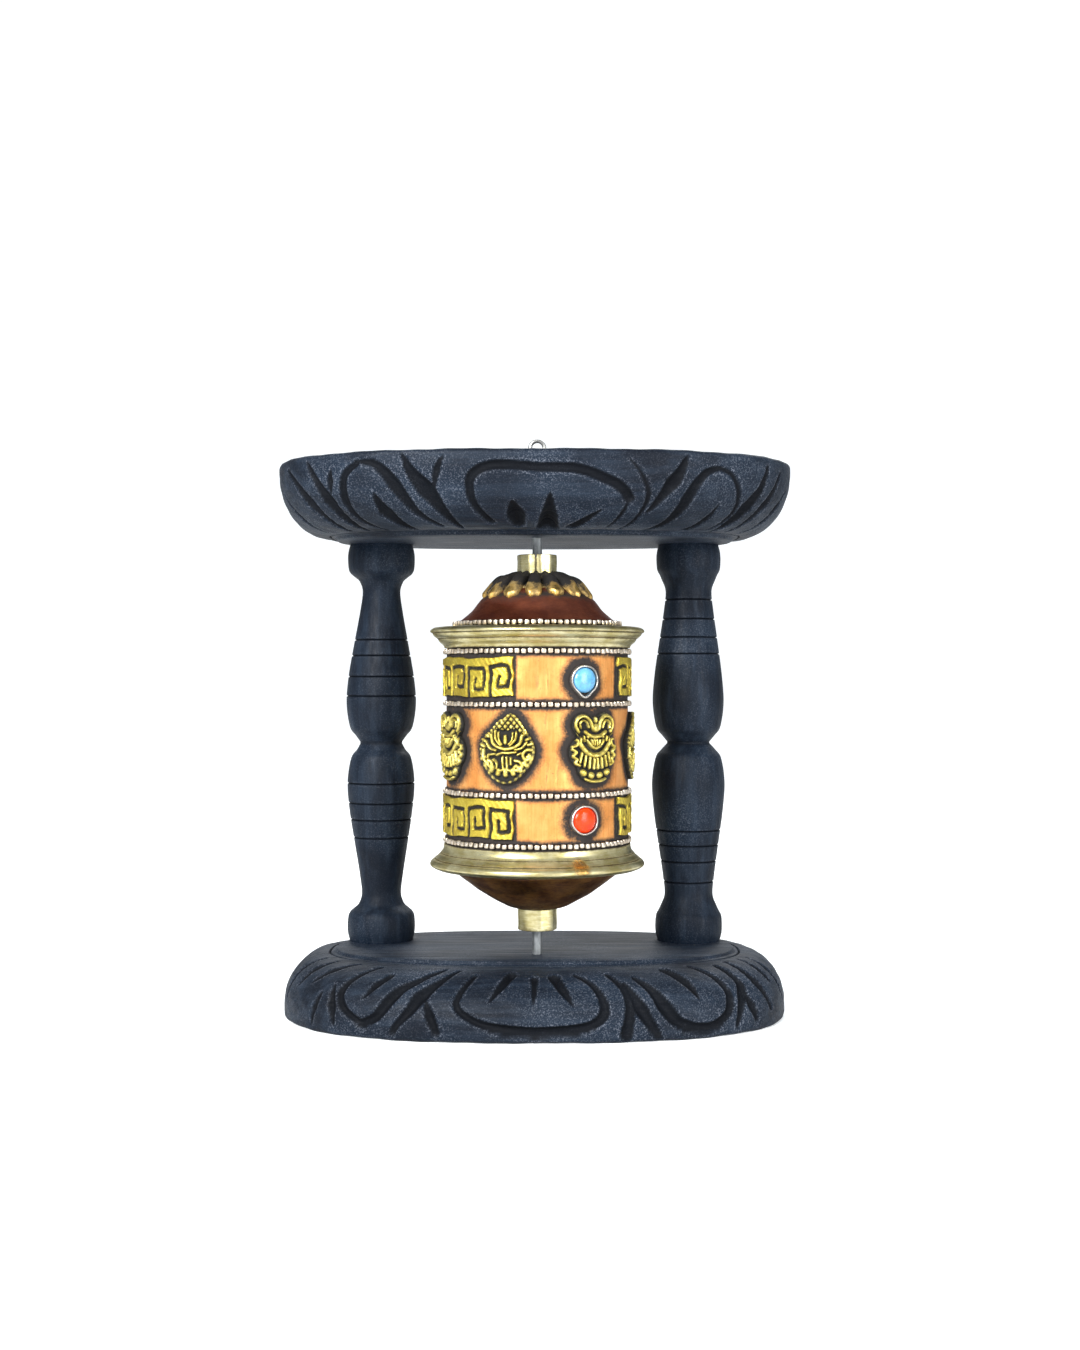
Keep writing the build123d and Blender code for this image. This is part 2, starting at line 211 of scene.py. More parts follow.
def new_group(name, inputs, outputs):
    """A shader group with named sockets; inputs are (kind, name, default)."""
    group = bpy.data.node_groups.new(name, "ShaderNodeTree")
    for kind, socket, default in inputs:
        made = group.interface.new_socket(socket, in_out="INPUT", socket_type="NodeSocket" + kind)
        made.default_value = default
    for kind, socket in outputs:
        group.interface.new_socket(socket, in_out="OUTPUT", socket_type="NodeSocket" + kind)
    return group, group.nodes.new("NodeGroupInput").outputs, group.nodes.new("NodeGroupOutput").inputs


# %% [markdown]
# The studio paper is a matt white. Seen straight from the camera it also glows a little, so the
# ground stays white while the light that falls on the object can stay moderate.

# %% Studio paper
def brighten_backdrop():
    """The empty studio is white to the camera, whichever way it looks, and softer as a light."""
    tree = world.node_tree
    seen = add_node(tree, "ShaderNodeLightPath").outputs["Is Camera Ray"]
    tree.links.new(remap(tree, seen, 0, 1, ROOM_LIGHT, 1.05), tree.nodes["Background"].inputs["Strength"])


brighten_backdrop()


def make_paper_white():
    material = bpy.data.materials.new("sweep_paper")
    material.use_nodes = True
    tree = material.node_tree
    shader = tree.nodes["Principled BSDF"]
    place = add_node(tree, "ShaderNodeTexCoord").outputs["Object"]
    fibre = noise(tree, place, 60, 3)
    tree.links.new(
        mix_colour(tree, fibre, (0.86, 0.88, 0.89, 1), (0.90, 0.91, 0.92, 1)), shader.inputs["Base Color"]
    )
    shader.inputs["Roughness"].default_value = 0.9
    shader.inputs["Emission Color"].default_value = (0.95, 0.985, 1.0, 1)
    seen = add_node(tree, "ShaderNodeLightPath").outputs["Is Camera Ray"]
    tree.links.new(calculate(tree, "MULTIPLY", seen, 0.5), shader.inputs["Emission Strength"])
    return material


sweep.data.materials.append(make_paper_white())

# %% [markdown]
# ## Black-stained wood
# The stain is blue-black and thin. It leaves the long grain just visible and has rubbed grey on
# the high edges and in fine specks. Each carved or turned mesh carries two numbers per vertex,
# "cut" for how deep it was cut and "edge" for how near it is to a rim, and the group below turns
# them into colour, roughness and height. Where "cut" is high, the colour is painted near-black as
# painted shade in the gouges, grooves and turned waists.

# %% Wood stain group
def build_wood_group():
    group, given, result = new_group(
        "black_stain",
        [("Vector", "Grain Stretch", (1, 1, 1)), ("Float", "Scuffing", 0.5), ("Float", "Pad Wear", 0.0)],
        [("Color", "Colour"), ("Float", "Roughness"), ("Float", "Height")],
    )
    place = add_node(group, "ShaderNodeTexCoord").outputs["Object"]
    cut = add_node(group, "ShaderNodeAttribute", attribute_name="cut").outputs["Fac"]
    edge = add_node(group, "ShaderNodeAttribute", attribute_name="edge").outputs["Fac"]
    along = add_node(
        group, "ShaderNodeVectorMath", {0: place, 1: given["Grain Stretch"]}, operation="MULTIPLY"
    ).outputs[0]
    grain = noise(group, along, 240, 6, 0.65)
    fibre = noise(group, along, 900, 3, 0.7)
    cloud = noise(group, place, 38, 3, 0.5)
    speck = noise(group, place, 1900, 2, 0.8)

    stain = mix_colour(
        group, remap(group, cloud, 0.35, 0.65), (0.0022, 0.0048, 0.0105, 1), (0.0055, 0.0125, 0.025, 1)
    )
    streak = calculate(group, "MULTIPLY", remap(group, grain, 0.45, 0.72), 0.7)
    stain = mix_colour(group, streak, stain, (0.020, 0.032, 0.052, 1))
    wear_place = calculate(
        group, "ADD", calculate(group, "MULTIPLY", edge, 0.6), remap(group, cloud, 0.42, 0.7, 0.12, 0.7)
    )
    wear_place = calculate(group, "ADD", wear_place, given["Pad Wear"])
    specks = remap(group, speck, 0.52, 0.64)
    scuff = calculate(
        group, "MULTIPLY", calculate(group, "MULTIPLY", wear_place, specks), given["Scuffing"], True
    )
    stain = mix_colour(group, scuff, stain, (0.17, 0.19, 0.235, 1))
    # Painted shade: the colour goes towards near-black as the cut deepens, standing in for shade in the
    # recesses.
    painted_recess_shade = calculate(group, "MULTIPLY", cut, 0.92, True)
    group.links.new(mix_colour(group, painted_recess_shade, stain, (0.0008, 0.0016, 0.0035, 1)), result["Colour"])

    dull = remap(group, fibre, 0.3, 0.7, 0.42, 0.66)
    group.links.new(
        calculate(group, "ADD", dull, calculate(group, "MULTIPLY", cut, 0.2)), result["Roughness"]
    )
    height = calculate(
        group, "ADD", calculate(group, "MULTIPLY", grain, 0.6), calculate(group, "MULTIPLY", fibre, 0.3)
    )
    group.links.new(
        calculate(group, "ADD", height, calculate(group, "MULTIPLY", speck, 0.25)), result["Height"]
    )
    return group


wood_group = build_wood_group()


def finish_material(name, group, values, bump, coat=0.0, specular=0.5):
    """A Principled material that takes colour, roughness and height from a group."""
    material = bpy.data.materials.new(name)
    material.use_nodes = True
    tree = material.node_tree
    shader = tree.nodes["Principled BSDF"]
    shader.inputs["Specular IOR Level"].default_value = specular
    shader.inputs["Coat Weight"].default_value = coat
    shader.inputs["Coat Roughness"].default_value = 0.25
    made = add_node(tree, "ShaderNodeGroup", node_tree=group)
    for key, value in values.items():
        made.inputs[key].default_value = value
    relief = add_node(
        tree, "ShaderNodeBump",
        {"Strength": bump[0], "Distance": bump[1] * MM, "Height": made.outputs["Height"]},
    )
    tree.links.new(made.outputs["Colour"], shader.inputs["Base Color"])
    tree.links.new(made.outputs["Roughness"], shader.inputs["Roughness"])
    tree.links.new(relief.outputs[0], shader.inputs["Normal"])
    if "Metal" in made.outputs:
        tree.links.new(made.outputs["Metal"], shader.inputs["Metallic"])
    return material


board_wood = finish_material(
    "carved_wood", wood_group, {"Grain Stretch": (0.05, 0.9, 1.0), "Scuffing": 0.8}, (0.8, 0.35),
    specular=0.16
)
post_wood = finish_material(
    "turned_wood", wood_group, {"Grain Stretch": (1.0, 1.0, 0.12), "Scuffing": 0.35}, (0.7, 0.3),
    specular=0.16
)
print("wood nodes:", len(wood_group.nodes))

# %% [markdown]
# ## Finishing a mesh
# Every piece ends the same way: doubles merged, millimetres to metres, smooth shading with
# crisp creases, a material, and a body to ride on. `turn` makes any lathe shape: it spins an
# outline of (radius, height) points about the vertical axis.

# %% Shared mesh steps
def make_piece(name, bm, body, material, replaces=(), crease=40):
    bmesh.ops.remove_doubles(bm, verts=bm.verts, dist=1e-4)
    bmesh.ops.scale(bm, vec=(MM, MM, MM), verts=bm.verts)
    mesh = bpy.data.meshes.new(name)
    bm.to_mesh(mesh)
    bm.free()
    mesh.polygons.foreach_set("use_smooth", [True] * len(mesh.polygons))
    mesh.set_sharp_from_angle(angle=radians(crease))
    piece = bpy.data.objects.new(name, mesh)
    bpy.context.collection.objects.link(piece)
    mesh.materials.append(material)
    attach(piece, body)
    if replaces:
        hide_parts(*replaces)
    triangles = sum(len(polygon.vertices) - 2 for polygon in mesh.polygons)
    print(f"{name}: {triangles} triangles")
    return piece


def turn(outline, steps, closed=False):
    """Spins (radius, height) points a full turn; ends on the axis become poles."""
    bm = bmesh.new()
    verts = [bm.verts.new((radius, 0, height)) for radius, height in outline]
    pairs = list(zip(verts, verts[1:]))
    if closed:
        pairs.append((verts[-1], verts[0]))
    edges = [bm.edges.new(pair) for pair in pairs]
    bmesh.ops.spin(
        bm, geom=verts + edges, cent=(0, 0, 0), axis=(0, 0, 1), angle=2 * pi, steps=steps, use_merge=True
    )
    bmesh.ops.remove_doubles(bm, verts=bm.verts, dist=1e-4)
    bmesh.ops.recalc_face_normals(bm, faces=bm.faces)
    return bm


def arc(centre, radius, start, end, count):
    """Points on a circle, angles in degrees; radius may be a pair for an ellipse."""
    across, up = radius if isinstance(radius, tuple) else (radius, radius)
    angles = [radians(start + (end - start) * i / (count - 1)) for i in range(count)]
    return [(centre[0] + across * cos(a), centre[1] + up * sin(a)) for a in angles]


def join(whole, part):
    """Adds a finished part to a whole mesh."""
    mesh = bpy.data.meshes.new("part")
    part.to_mesh(mesh)
    whole.from_mesh(mesh)
    bpy.data.meshes.remove(mesh)
    part.free()


def to_drum(bm):
    """Moves a piece made round the Z axis onto the drum's axis."""
    bmesh.ops.translate(bm, vec=DRUM_AXIS, verts=bm.verts)


# %% [markdown]
# ## The carved boards
# Both boards are ovals with a rounded edge, squarer than an ellipse. A wood carver would saw
# the oval, round its edge, and then cut the petals with a gouge. We do the same: spin a round
# board on a fine grid, push the round outline out to the oval, and then sink each gouge cut
# along the surface. The cuts are drawn flat, as on a strip of paper wrapped round the edge:
# `along` in millimetres from the middle of the front, `down` from 0 at the outer face to 1 at
# the ledge beside the pad.

# %% Oval outline
SQUARENESS = 2.5
BOARD_HALF_DEPTH = (span("base_board")[1].y - span("base_board")[0].y) / 2
PAD_HALF_WIDTH, PAD_HALF_DEPTH = 74.5, 37.0
PAD_STEP, PAD_BORDER = 1.5, 3.2
LEDGE = (PAD_HALF_WIDTH + PAD_BORDER, PAD_HALF_DEPTH + PAD_BORDER)
STRAIGHT_SHARE = 0.12           # share of "down" below the widest line


def unit_oval(angle):
    """Point on the superellipse of half-axes 1 at this parameter; arrays welcome."""
    power = 2 / SQUARENESS
    c, s = np.cos(angle), np.sin(angle)
    return np.sign(c) * abs(c) ** power, np.sign(s) * abs(s) ** power


def even_angles(half_width, count):
    """Parameters that walk evenly round the middle of the edge, from the front centre."""
    fine = np.linspace(0, 2 * pi, 16384) - pi / 2
    x, y = unit_oval(fine)
    x, y = x * (half_width + LEDGE[0]) / 2, y * (BOARD_HALF_DEPTH + LEDGE[1]) / 2
    walked = np.concatenate([[0], np.cumsum(np.hypot(np.diff(x), np.diff(y)))])
    steps = np.linspace(0, walked[-1], count, endpoint=False)
    return np.interp(steps, walked, fine), walked[-1]


def depth_at(width, half_width):
    """Half-depth of the oval ring whose half-width is this."""
    return np.interp(
        width, [0, PAD_HALF_WIDTH, LEDGE[0], half_width], [0, PAD_HALF_DEPTH, LEDGE[1], BOARD_HALF_DEPTH]
    )


# %% [markdown]
# A gouge cut is a smooth line with three widths, at its start, middle and end. Its section is a
# shallow U: deepest on the line and sharp at both shoulders. The wider the gouge bites, the
# deeper it goes.

# %% Gouge cuts
CUT_DEPTH = 0.55                # depth as a share of the cut's width
PROFILE_LENGTH = 37.0           # millimetres from the outer face to the ledge, over the curve


def smooth_line(points, count=10):
    """Catmull-Rom line through the points."""
    p = np.array([points[0], *points, points[-1]], float)
    t = np.linspace(0, 1, count, endpoint=False)[:, None]
    runs = []
    for a, b, c, d in zip(p, p[1:], p[2:], p[3:]):
        runs.append(
            0.5 * (2 * b + (c - a) * t + (2 * a - 5 * b + 4 * c - d) * t**2 + (3 * b - a - 3 * c + d) * t**3)
        )
    return np.vstack([*runs, p[-1:]])


def nearest_on_line(u, v, line, half_widths):
    """Distance of each point from the line, as a share of the half width there, and that width."""
    best = np.full(len(u), 1e9)
    reach = np.full(len(u), 0.1)
    for (a, b), (ha, hb) in zip(zip(line, line[1:]), zip(half_widths, half_widths[1:])):
        run = b - a
        t = np.clip(((u - a[0]) * run[0] + (v - a[1]) * run[1]) / max(run @ run, 1e-9), 0, 1)
        width = ha + (hb - ha) * t
        share = np.hypot(u - a[0] - t * run[0], v - a[1] - t * run[1]) / width
        better = share < best
        best[better] = share[better]
        reach[better] = width[better]
    return best, reach


def carve_map(along, down, cuts, length):
    """Depth of cut in mm and nearness to a shoulder (0 to 1) for every point of the edge."""
    depth = np.zeros(len(along))
    shoulder = np.zeros(len(along))
    v = down * PROFILE_LENGTH
    for widths, points in cuts:
        line = smooth_line(points, 6) * (1, PROFILE_LENGTH)
        half = np.interp(np.linspace(0, 1, len(line)), [0, 0.5, 1], widths) * 0.66 + 0.1
        centre = line[:, 0].mean()
        u = (along - centre + length / 2) % length - length / 2 + centre
        near = np.nonzero(
            (u > line[:, 0].min() - 5) & (u < line[:, 0].max() + 5)
            & (v > line[:, 1].min() - 5) & (v < line[:, 1].max() + 5)
        )[0]
        share, reach = nearest_on_line(u[near], v[near], line, half)
        depth[near] = np.maximum(depth[near], np.clip(1 - share**2, 0, 1) * reach * 1.5 * CUT_DEPTH)
        rim = np.exp(-(((share - 1) * reach - 0.25) / 0.45) ** 2)
        shoulder[near] = np.maximum(shoulder[near], rim * (share > 0.9))
    return depth, shoulder


# Top board, front half.  (widths at start, middle and end), points (along, down)
TOP_CUTS = [
    ((2.4, 2.6, 2.6), [(1, 0.20), (13, 0.21), (22, 0.29), (28, 0.38), (31, 0.48)]),
    ((2.4, 2.4, 1.8), [(1, 0.20), (-12, 0.18), (-18.5, 0.24), (-20.5, 0.36), (-19.5, 0.55), (-15, 0.78)]),
    ((0.6, 1.2, 0.5), [(31, 0.48), (30, 0.64), (27, 0.92)]),
    ((0.5, 1.4, 0.8), [(30, 0.13), (34, 0.26), (37, 0.44), (36, 0.66), (33, 0.98)]),
    ((0.8, 3.8, 1.0), [(48.5, 0.08), (46, 0.24), (42.5, 0.40), (38.5, 0.62)]),
    ((1.2, 3.4, 1.4), [(60, 0.18), (55, 0.23), (51.5, 0.38), (49.5, 0.58), (47, 0.78), (43, 0.99)]),
    ((1.2, 1.5, 0.8), [(60, 0.18), (65, 0.24), (69, 0.40), (70, 0.60), (67.5, 0.88)]),
    ((0.3, 1.6, 2.4), [(63, 0.50), (61.5, 0.68), (59, 0.95)]),
    ((0.8, 4.0, 1.0), [(80, 0.12), (78, 0.32), (74.5, 0.52), (72, 0.76), (71, 0.95)]),
    ((0.8, 2.6, 0.8), [(88, 0.16), (85, 0.36), (81, 0.60), (78, 0.92)]),
    ((0.5, 2.2, 0.6), [(96, 0.30), (92, 0.52), (88, 0.92)]),
    ((0.5, 5.0, 1.2), [(-41.5, 0.06), (-39, 0.22), (-34.5, 0.40), (-31, 0.60), (-27, 0.90)]),
    ((0.6, 2.0, 0.6), [(-28.5, 0.10), (-30.5, 0.22), (-32, 0.40)]),
    ((1.0, 3.6, 1.2), [(-57, 0.12), (-51, 0.15), (-46.5, 0.26), (-42.5, 0.46), (-39.5, 0.65), (-34, 0.86)]),
    ((1.6, 2.4, 1.0), [(-57, 0.15), (-61.5, 0.24), (-63.5, 0.44), (-62.5, 0.68), (-57, 0.95)]),
    ((0.3, 4.0, 1.8), [(-52.5, 0.40), (-50.5, 0.62), (-46, 0.95)]),
    ((0.8, 3.6, 1.2), [(-76.5, 0.10), (-73, 0.28), (-70, 0.48), (-67.5, 0.74), (-66, 0.96)]),
    ((0.5, 2.0, 0.5), [(-66.5, 0.18), (-67.5, 0.28), (-68.5, 0.40)]),
    ((0.8, 3.2, 1.0), [(-88, 0.14), (-83, 0.28), (-79, 0.46), (-76, 0.66), (-74, 0.92)]),
    ((0.5, 1.8, 0.5), [(-96, 0.34), (-91, 0.60), (-87, 0.92)]),
    ((3.2, 5.2, 1.2), [(-5.5, 0.84), (-6.2, 0.68), (-7.2, 0.52)]),
    ((6.5, 5.0, 0.4), [(5.0, 0.92), (5.0, 0.70), (5.2, 0.42)]),
    ((3.5, 2.6, 0.4), [(14, 0.88), (18, 0.74), (22.5, 0.60)]),
]
# Base board, front half: the same petals, cut by a heavier hand, opening upwards.
BASE_CUTS = [
    ((3.0, 2.2, 1.4), [(0, 0.08), (-14, 0.14), (-22, 0.26), (-25, 0.42), (-21, 0.76)]),
    ((3.0, 2.8, 1.4), [(0, 0.08), (12, 0.11), (19.5, 0.18), (22.5, 0.34), (20, 0.60), (14.5, 0.78)]),
    ((3.0, 2.4, 0.3), [(-8, 0.78), (-11, 0.60), (-14.5, 0.40)]),
    ((2.0, 1.6, 0.4), [(0, 0.72), (0, 0.56), (-0.3, 0.38)]),
    ((3.4, 2.8, 0.3), [(7, 0.74), (9.5, 0.56), (12.5, 0.36)]),
    ((1.6, 2.4, 3.2), [(26, 0.78), (30, 0.54), (30.5, 0.30), (29, 0.06)]),
    ((1.2, 4.0, 2.0), [(30.5, 0.64), (33, 0.42), (35.5, 0.22), (39.5, 0.03)]),
    ((1.6, 4.2, 3.0), [(35, 0.72), (39.5, 0.52), (42, 0.34), (45.5, 0.17), (51, 0.09)]),
    ((3.0, 2.4, 1.4), [(51, 0.09), (58, 0.09), (64, 0.22), (66, 0.44), (64, 0.66), (59, 0.90)]),
    ((3.0, 3.0, 0.3), [(48, 0.84), (52, 0.62), (54.5, 0.38)]),
    ((1.4, 3.2, 1.2), [(70, 0.86), (72.5, 0.54), (70, 0.30), (67.5, 0.08)]),
    ((0.6, 2.8, 1.4), [(72.5, 0.42), (74, 0.26), (76, 0.10)]),
    ((1.2, 2.8, 1.0), [(77, 0.92), (79, 0.62), (81.5, 0.40), (84, 0.16)]),
    ((1.0, 2.4, 0.8), [(86, 0.92), (87.5, 0.66), (89, 0.46)]),
    ((0.8, 2.0, 0.8), [(93, 0.90), (94.5, 0.60), (96, 0.20)]),
    ((1.4, 3.6, 2.6), [(-33, 0.88), (-39, 0.68), (-44.5, 0.53), (-47.5, 0.38), (-51, 0.20), (-56, 0.12)]),
    ((2.4, 2.2, 1.2), [(-56, 0.12), (-62.5, 0.26), (-65.5, 0.44), (-63.5, 0.64), (-58, 0.88)]),
    ((2.2, 2.2, 0.4), [(-51, 0.72), (-54, 0.56), (-56.5, 0.40)]),
    ((0.8, 4.2, 1.4), [(-27, 0.90), (-33, 0.62), (-37, 0.46), (-40, 0.28), (-45.5, 0.06)]),
    ((1.0, 2.6, 2.0), [(-35, 0.40), (-33, 0.24), (-31, 0.08)]),
    ((0.8, 2.4, 1.0), [(-69.5, 0.52), (-67.5, 0.28), (-66.5, 0.10)]),
    ((0.8, 1.8, 0.8), [(-73.5, 0.40), (-76, 0.08)]),
    ((0.8, 2.2, 0.6), [(-68, 0.90), (-75, 0.72), (-80.5, 0.50)]),
    ((0.8, 2.2, 0.6), [(-80, 0.92), (-85, 0.68), (-88, 0.42)]),
    ((0.8, 1.8, 0.6), [(-90, 0.92), (-94, 0.60), (-95, 0.22)]),
]


def both_halves(cuts, length):
    """The back of a board is carved like its front, half a turn on."""
    moved = [(widths, [(along + length / 2, down) for along, down in points]) for widths, points in cuts]
    return cuts + moved


# %% [markdown]
# The board itself: an outline from the middle of the outer face, round the rim, over the
# quarter-ellipse edge, across a small V groove to the pad, and back to the middle. The grid is
# fine only where the carving is.

# %% Boards
BOARD_STEPS = 800


def board_outline(half_width, thickness, rim_height):
    shoulder = thickness - PAD_STEP
    edge = arc((LEDGE[0], rim_height), (half_width - LEDGE[0], shoulder - rim_height), 0, 90, 74)
    ledge = LEDGE[0]
    inner = PAD_HALF_WIDTH
    return [
        (0, 0), (inner, 0), (half_width - 4, 0),
        *arc((half_width - 1.6, 1.6), 1.6, -90, 0, 5),
        *[(half_width, rim_height * share) for share in (0.6, 0.8)],
        *edge,
        (ledge - 0.8, shoulder + 0.05), (ledge - 1.3, shoulder - 0.75), (ledge - 1.8, shoulder + 0.1),
        (inner + 0.5, shoulder + 0.2), (inner, shoulder + 0.6), (inner - 0.3, thickness - 0.3),
        (inner - 0.9, thickness),
        (inner * 0.8, thickness), (inner * 0.45, thickness), (0, thickness),
    ]


def carve_board(bm, half_width, thickness, rim_height, cuts):
    """Pushes the round board out to its oval, then sinks the gouge cuts."""
    angles, length = even_angles(half_width, BOARD_STEPS)
    bm.verts.ensure_lookup_table()
    place = np.array([vert.co for vert in bm.verts])
    width = np.hypot(place[:, 0], place[:, 1])
    turned = (np.arctan2(place[:, 0], -place[:, 1]) / (2 * pi)) % 1
    step = np.rint(turned * BOARD_STEPS).astype(int) % BOARD_STEPS
    x, y = unit_oval(angles[step])
    place[:, 0] = x * width
    place[:, 1] = y * depth_at(width, half_width)
    for vert, co in zip(bm.verts, place):
        vert.co = co
    bm.normal_update()

    shoulder = thickness - PAD_STEP
    rise = np.clip((place[:, 2] - rim_height) / (shoulder - rim_height), 0, 1)
    down = np.where(
        place[:, 2] < rim_height,
        STRAIGHT_SHARE * place[:, 2] / rim_height,
        STRAIGHT_SHARE + (1 - STRAIGHT_SHARE) * np.arcsin(rise) * 2 / pi,
    )
    along = step / BOARD_STEPS * length
    on_edge = width > LEDGE[0] - 0.1
    depth, rim = carve_map(along, down, both_halves(cuts, length), length)
    depth *= on_edge * np.clip(down / 0.05, 0, 1)
    cut_layer = bm.verts.layers.float.new("cut")
    edge_layer = bm.verts.layers.float.new("edge")
    wobble = np.sin(along * 0.21) * 0.12 + np.sin(along * 0.63 + place[:, 2]) * 0.06
    in_groove = (width < LEDGE[0] - 1.2) & (width > LEDGE[0] - 1.4)
    for i, vert in enumerate(bm.verts):
        vert.co -= vert.normal * (depth[i] + (wobble[i] if on_edge[i] else 0))
        # Painted shade: the gouge depth, and the whole V groove by the pad, are marked for the stain group
        # to paint darker.
        vert[cut_layer] = max(min(depth[i] / 0.45, 1), 1.0 if in_groove[i] else 0)
        vert[edge_layer] = rim[i] * on_edge[i]


def make_board(node, cuts, over):
    low, high = span(node)
    half_width = (high.x - low.x) / 2
    thickness = high.z - low.z
    rim_height = 3.4 if over else 5.4
    bm = turn(board_outline(half_width - 0.2, thickness, rim_height), BOARD_STEPS)
    carve_board(bm, half_width - 0.2, thickness, rim_height, cuts)
    if over:
        bmesh.ops.rotate(bm, verts=bm.verts, cent=(0, 0, 0), matrix=Matrix.Rotation(pi, 3, "Y"))
        bmesh.ops.translate(bm, verts=bm.verts, vec=(0, 0, high.z))
    return make_piece("carved_" + node, bm, "stand", board_wood, [node], 50)


# The top board is turned over about the line from front to back. That swaps left and right,
# so its cuts are mirrored first.
mirrored_top = [(widths, [(-along, down) for along, down in points]) for widths, points in TOP_CUTS]
make_board("base_board", BASE_CUTS, over=False)
make_board("top_board", mirrored_top, over=True)

# %% [markdown]
# ## The turned posts
# Each post is a double vase. On the lathe the turner worked by eye, so the two differ: the
# right one is fatter, and the fine decorative grooves sit at other heights. The outline is a
# smooth line through a few radii, and every groove is a small V cut into it.

# %% Posts
HALF_POST = (WINDOW_TOP - BASE_TOP) / 2
POST_MIDDLE = (WINDOW_TOP + BASE_TOP) / 2


def vase_line(cap, neck, belly, waist):
    """(share of the half height, radius) from the waist out to the cap's end."""
    taper = belly - neck
    body = smooth_line(
        [(0, waist), (0.035, belly - 3.6), (0.08, belly - 1.3), (0.2, belly), (0.34, belly - 0.14 * taper),
         (0.5, neck + 0.52 * taper), (0.66, neck + 0.16 * taper), (0.765, neck), (0.82, neck + 1.3)], 12
    )
    end = smooth_line(
        [(0.852, cap - 1.2), (0.875, cap - 0.3), (0.925, cap), (0.965, cap - 0.2), (1.0, cap - 0.9)], 6
    )
    return np.vstack([body, end])


def post_outline(upper, lower, waist, grooves):
    """Outline from the bottom of the post to its top, with V grooves at the given heights."""
    top = [(r, POST_MIDDLE + share * HALF_POST) for share, r in vase_line(*upper, waist)]
    bottom = [(r, POST_MIDDLE - share * HALF_POST) for share, r in vase_line(*lower, waist)]
    rough = np.array(bottom[::-1] + top[1:])
    heights = set(np.round(np.linspace(BASE_TOP, WINDOW_TOP, 230), 3))
    for groove in grooves:
        heights |= {round(groove + offset, 3) for offset in (-0.35, -0.18, 0, 0.18, 0.35)}
    outline = []
    for height in sorted(heights):
        radius = np.interp(height, rough[:, 1], rough[:, 0])
        bite = sum(max(0, 1 - abs(height - groove) / 0.36) for groove in grooves)
        outline.append((radius - 0.55 * bite, height))
    return outline


def make_post(node, upper, lower, waist, grooves):
    low, high = span(node)
    outline = post_outline(upper, lower, waist, grooves)
    bm = turn([(0, BASE_TOP), *outline, (0, WINDOW_TOP)], 144)
    cut_layer = bm.verts.layers.float.new("cut")
    edge_layer = bm.verts.layers.float.new("edge")
    for vert in bm.verts:
        x, y, z = vert.co
        facet = 0.06 * sin(3 * math.atan2(y, x) + z * 0.05) + 0.05 * sin(7 * math.atan2(y, x) - z * 0.11)
        size = math.hypot(x, y) or 1
        vert.co.x *= 1 + facet / max(size, 6)
        vert.co.y *= 1 + facet / max(size, 6)
        # Painted shade: the V grooves and the narrow waist between the two vases are marked for the stain
        # group to paint darker.
        vert[cut_layer] = min(1, sum(max(0, 1 - abs(z - groove) / 0.5) for groove in grooves))
        near_waist = max(0, 1 - abs(z - POST_MIDDLE) / 1.2)
        vert[cut_layer] = max(vert[cut_layer], 0.8 * near_waist)
        vert[edge_layer] = min(1, sum(max(0, 1 - abs(abs(z - groove) - 0.7) / 0.4) for groove in grooves))
    bmesh.ops.translate(bm, verts=bm.verts, vec=((low.x + high.x) / 2, (low.y + high.y) / 2, 0))
    return make_piece("turned_" + node, bm, "stand", post_wood, [node], 35)


make_post(
    "left_post", (12.8, 7.2, 13.3), (12.9, 7.5, 12.8), 7.8, (139, 133, 125, 117.6, 84.3, 76.7, 70.4, 63.5)
)
make_post(
    "right_post", (12.3, 8.8, 13.6), (12.8, 9.2, 13.9), 7.8,
    (154.4, 147, 140, 133.7, 66.4, 60.7, 54.5, 46.6)
)

# %% [markdown]
# ## Aged metal
# One recipe serves every metal here. The bright colour clouds into a deeper one, thin streaks
# run along the way it was rubbed, pits are dark, and patina gathers wherever the vertex number
# "cut" is high: in the ground of a relief, in a turned groove, or round an ornament, where the
# polishing cloth never reaches. Patina is a dull crust, so it also takes the shine away.

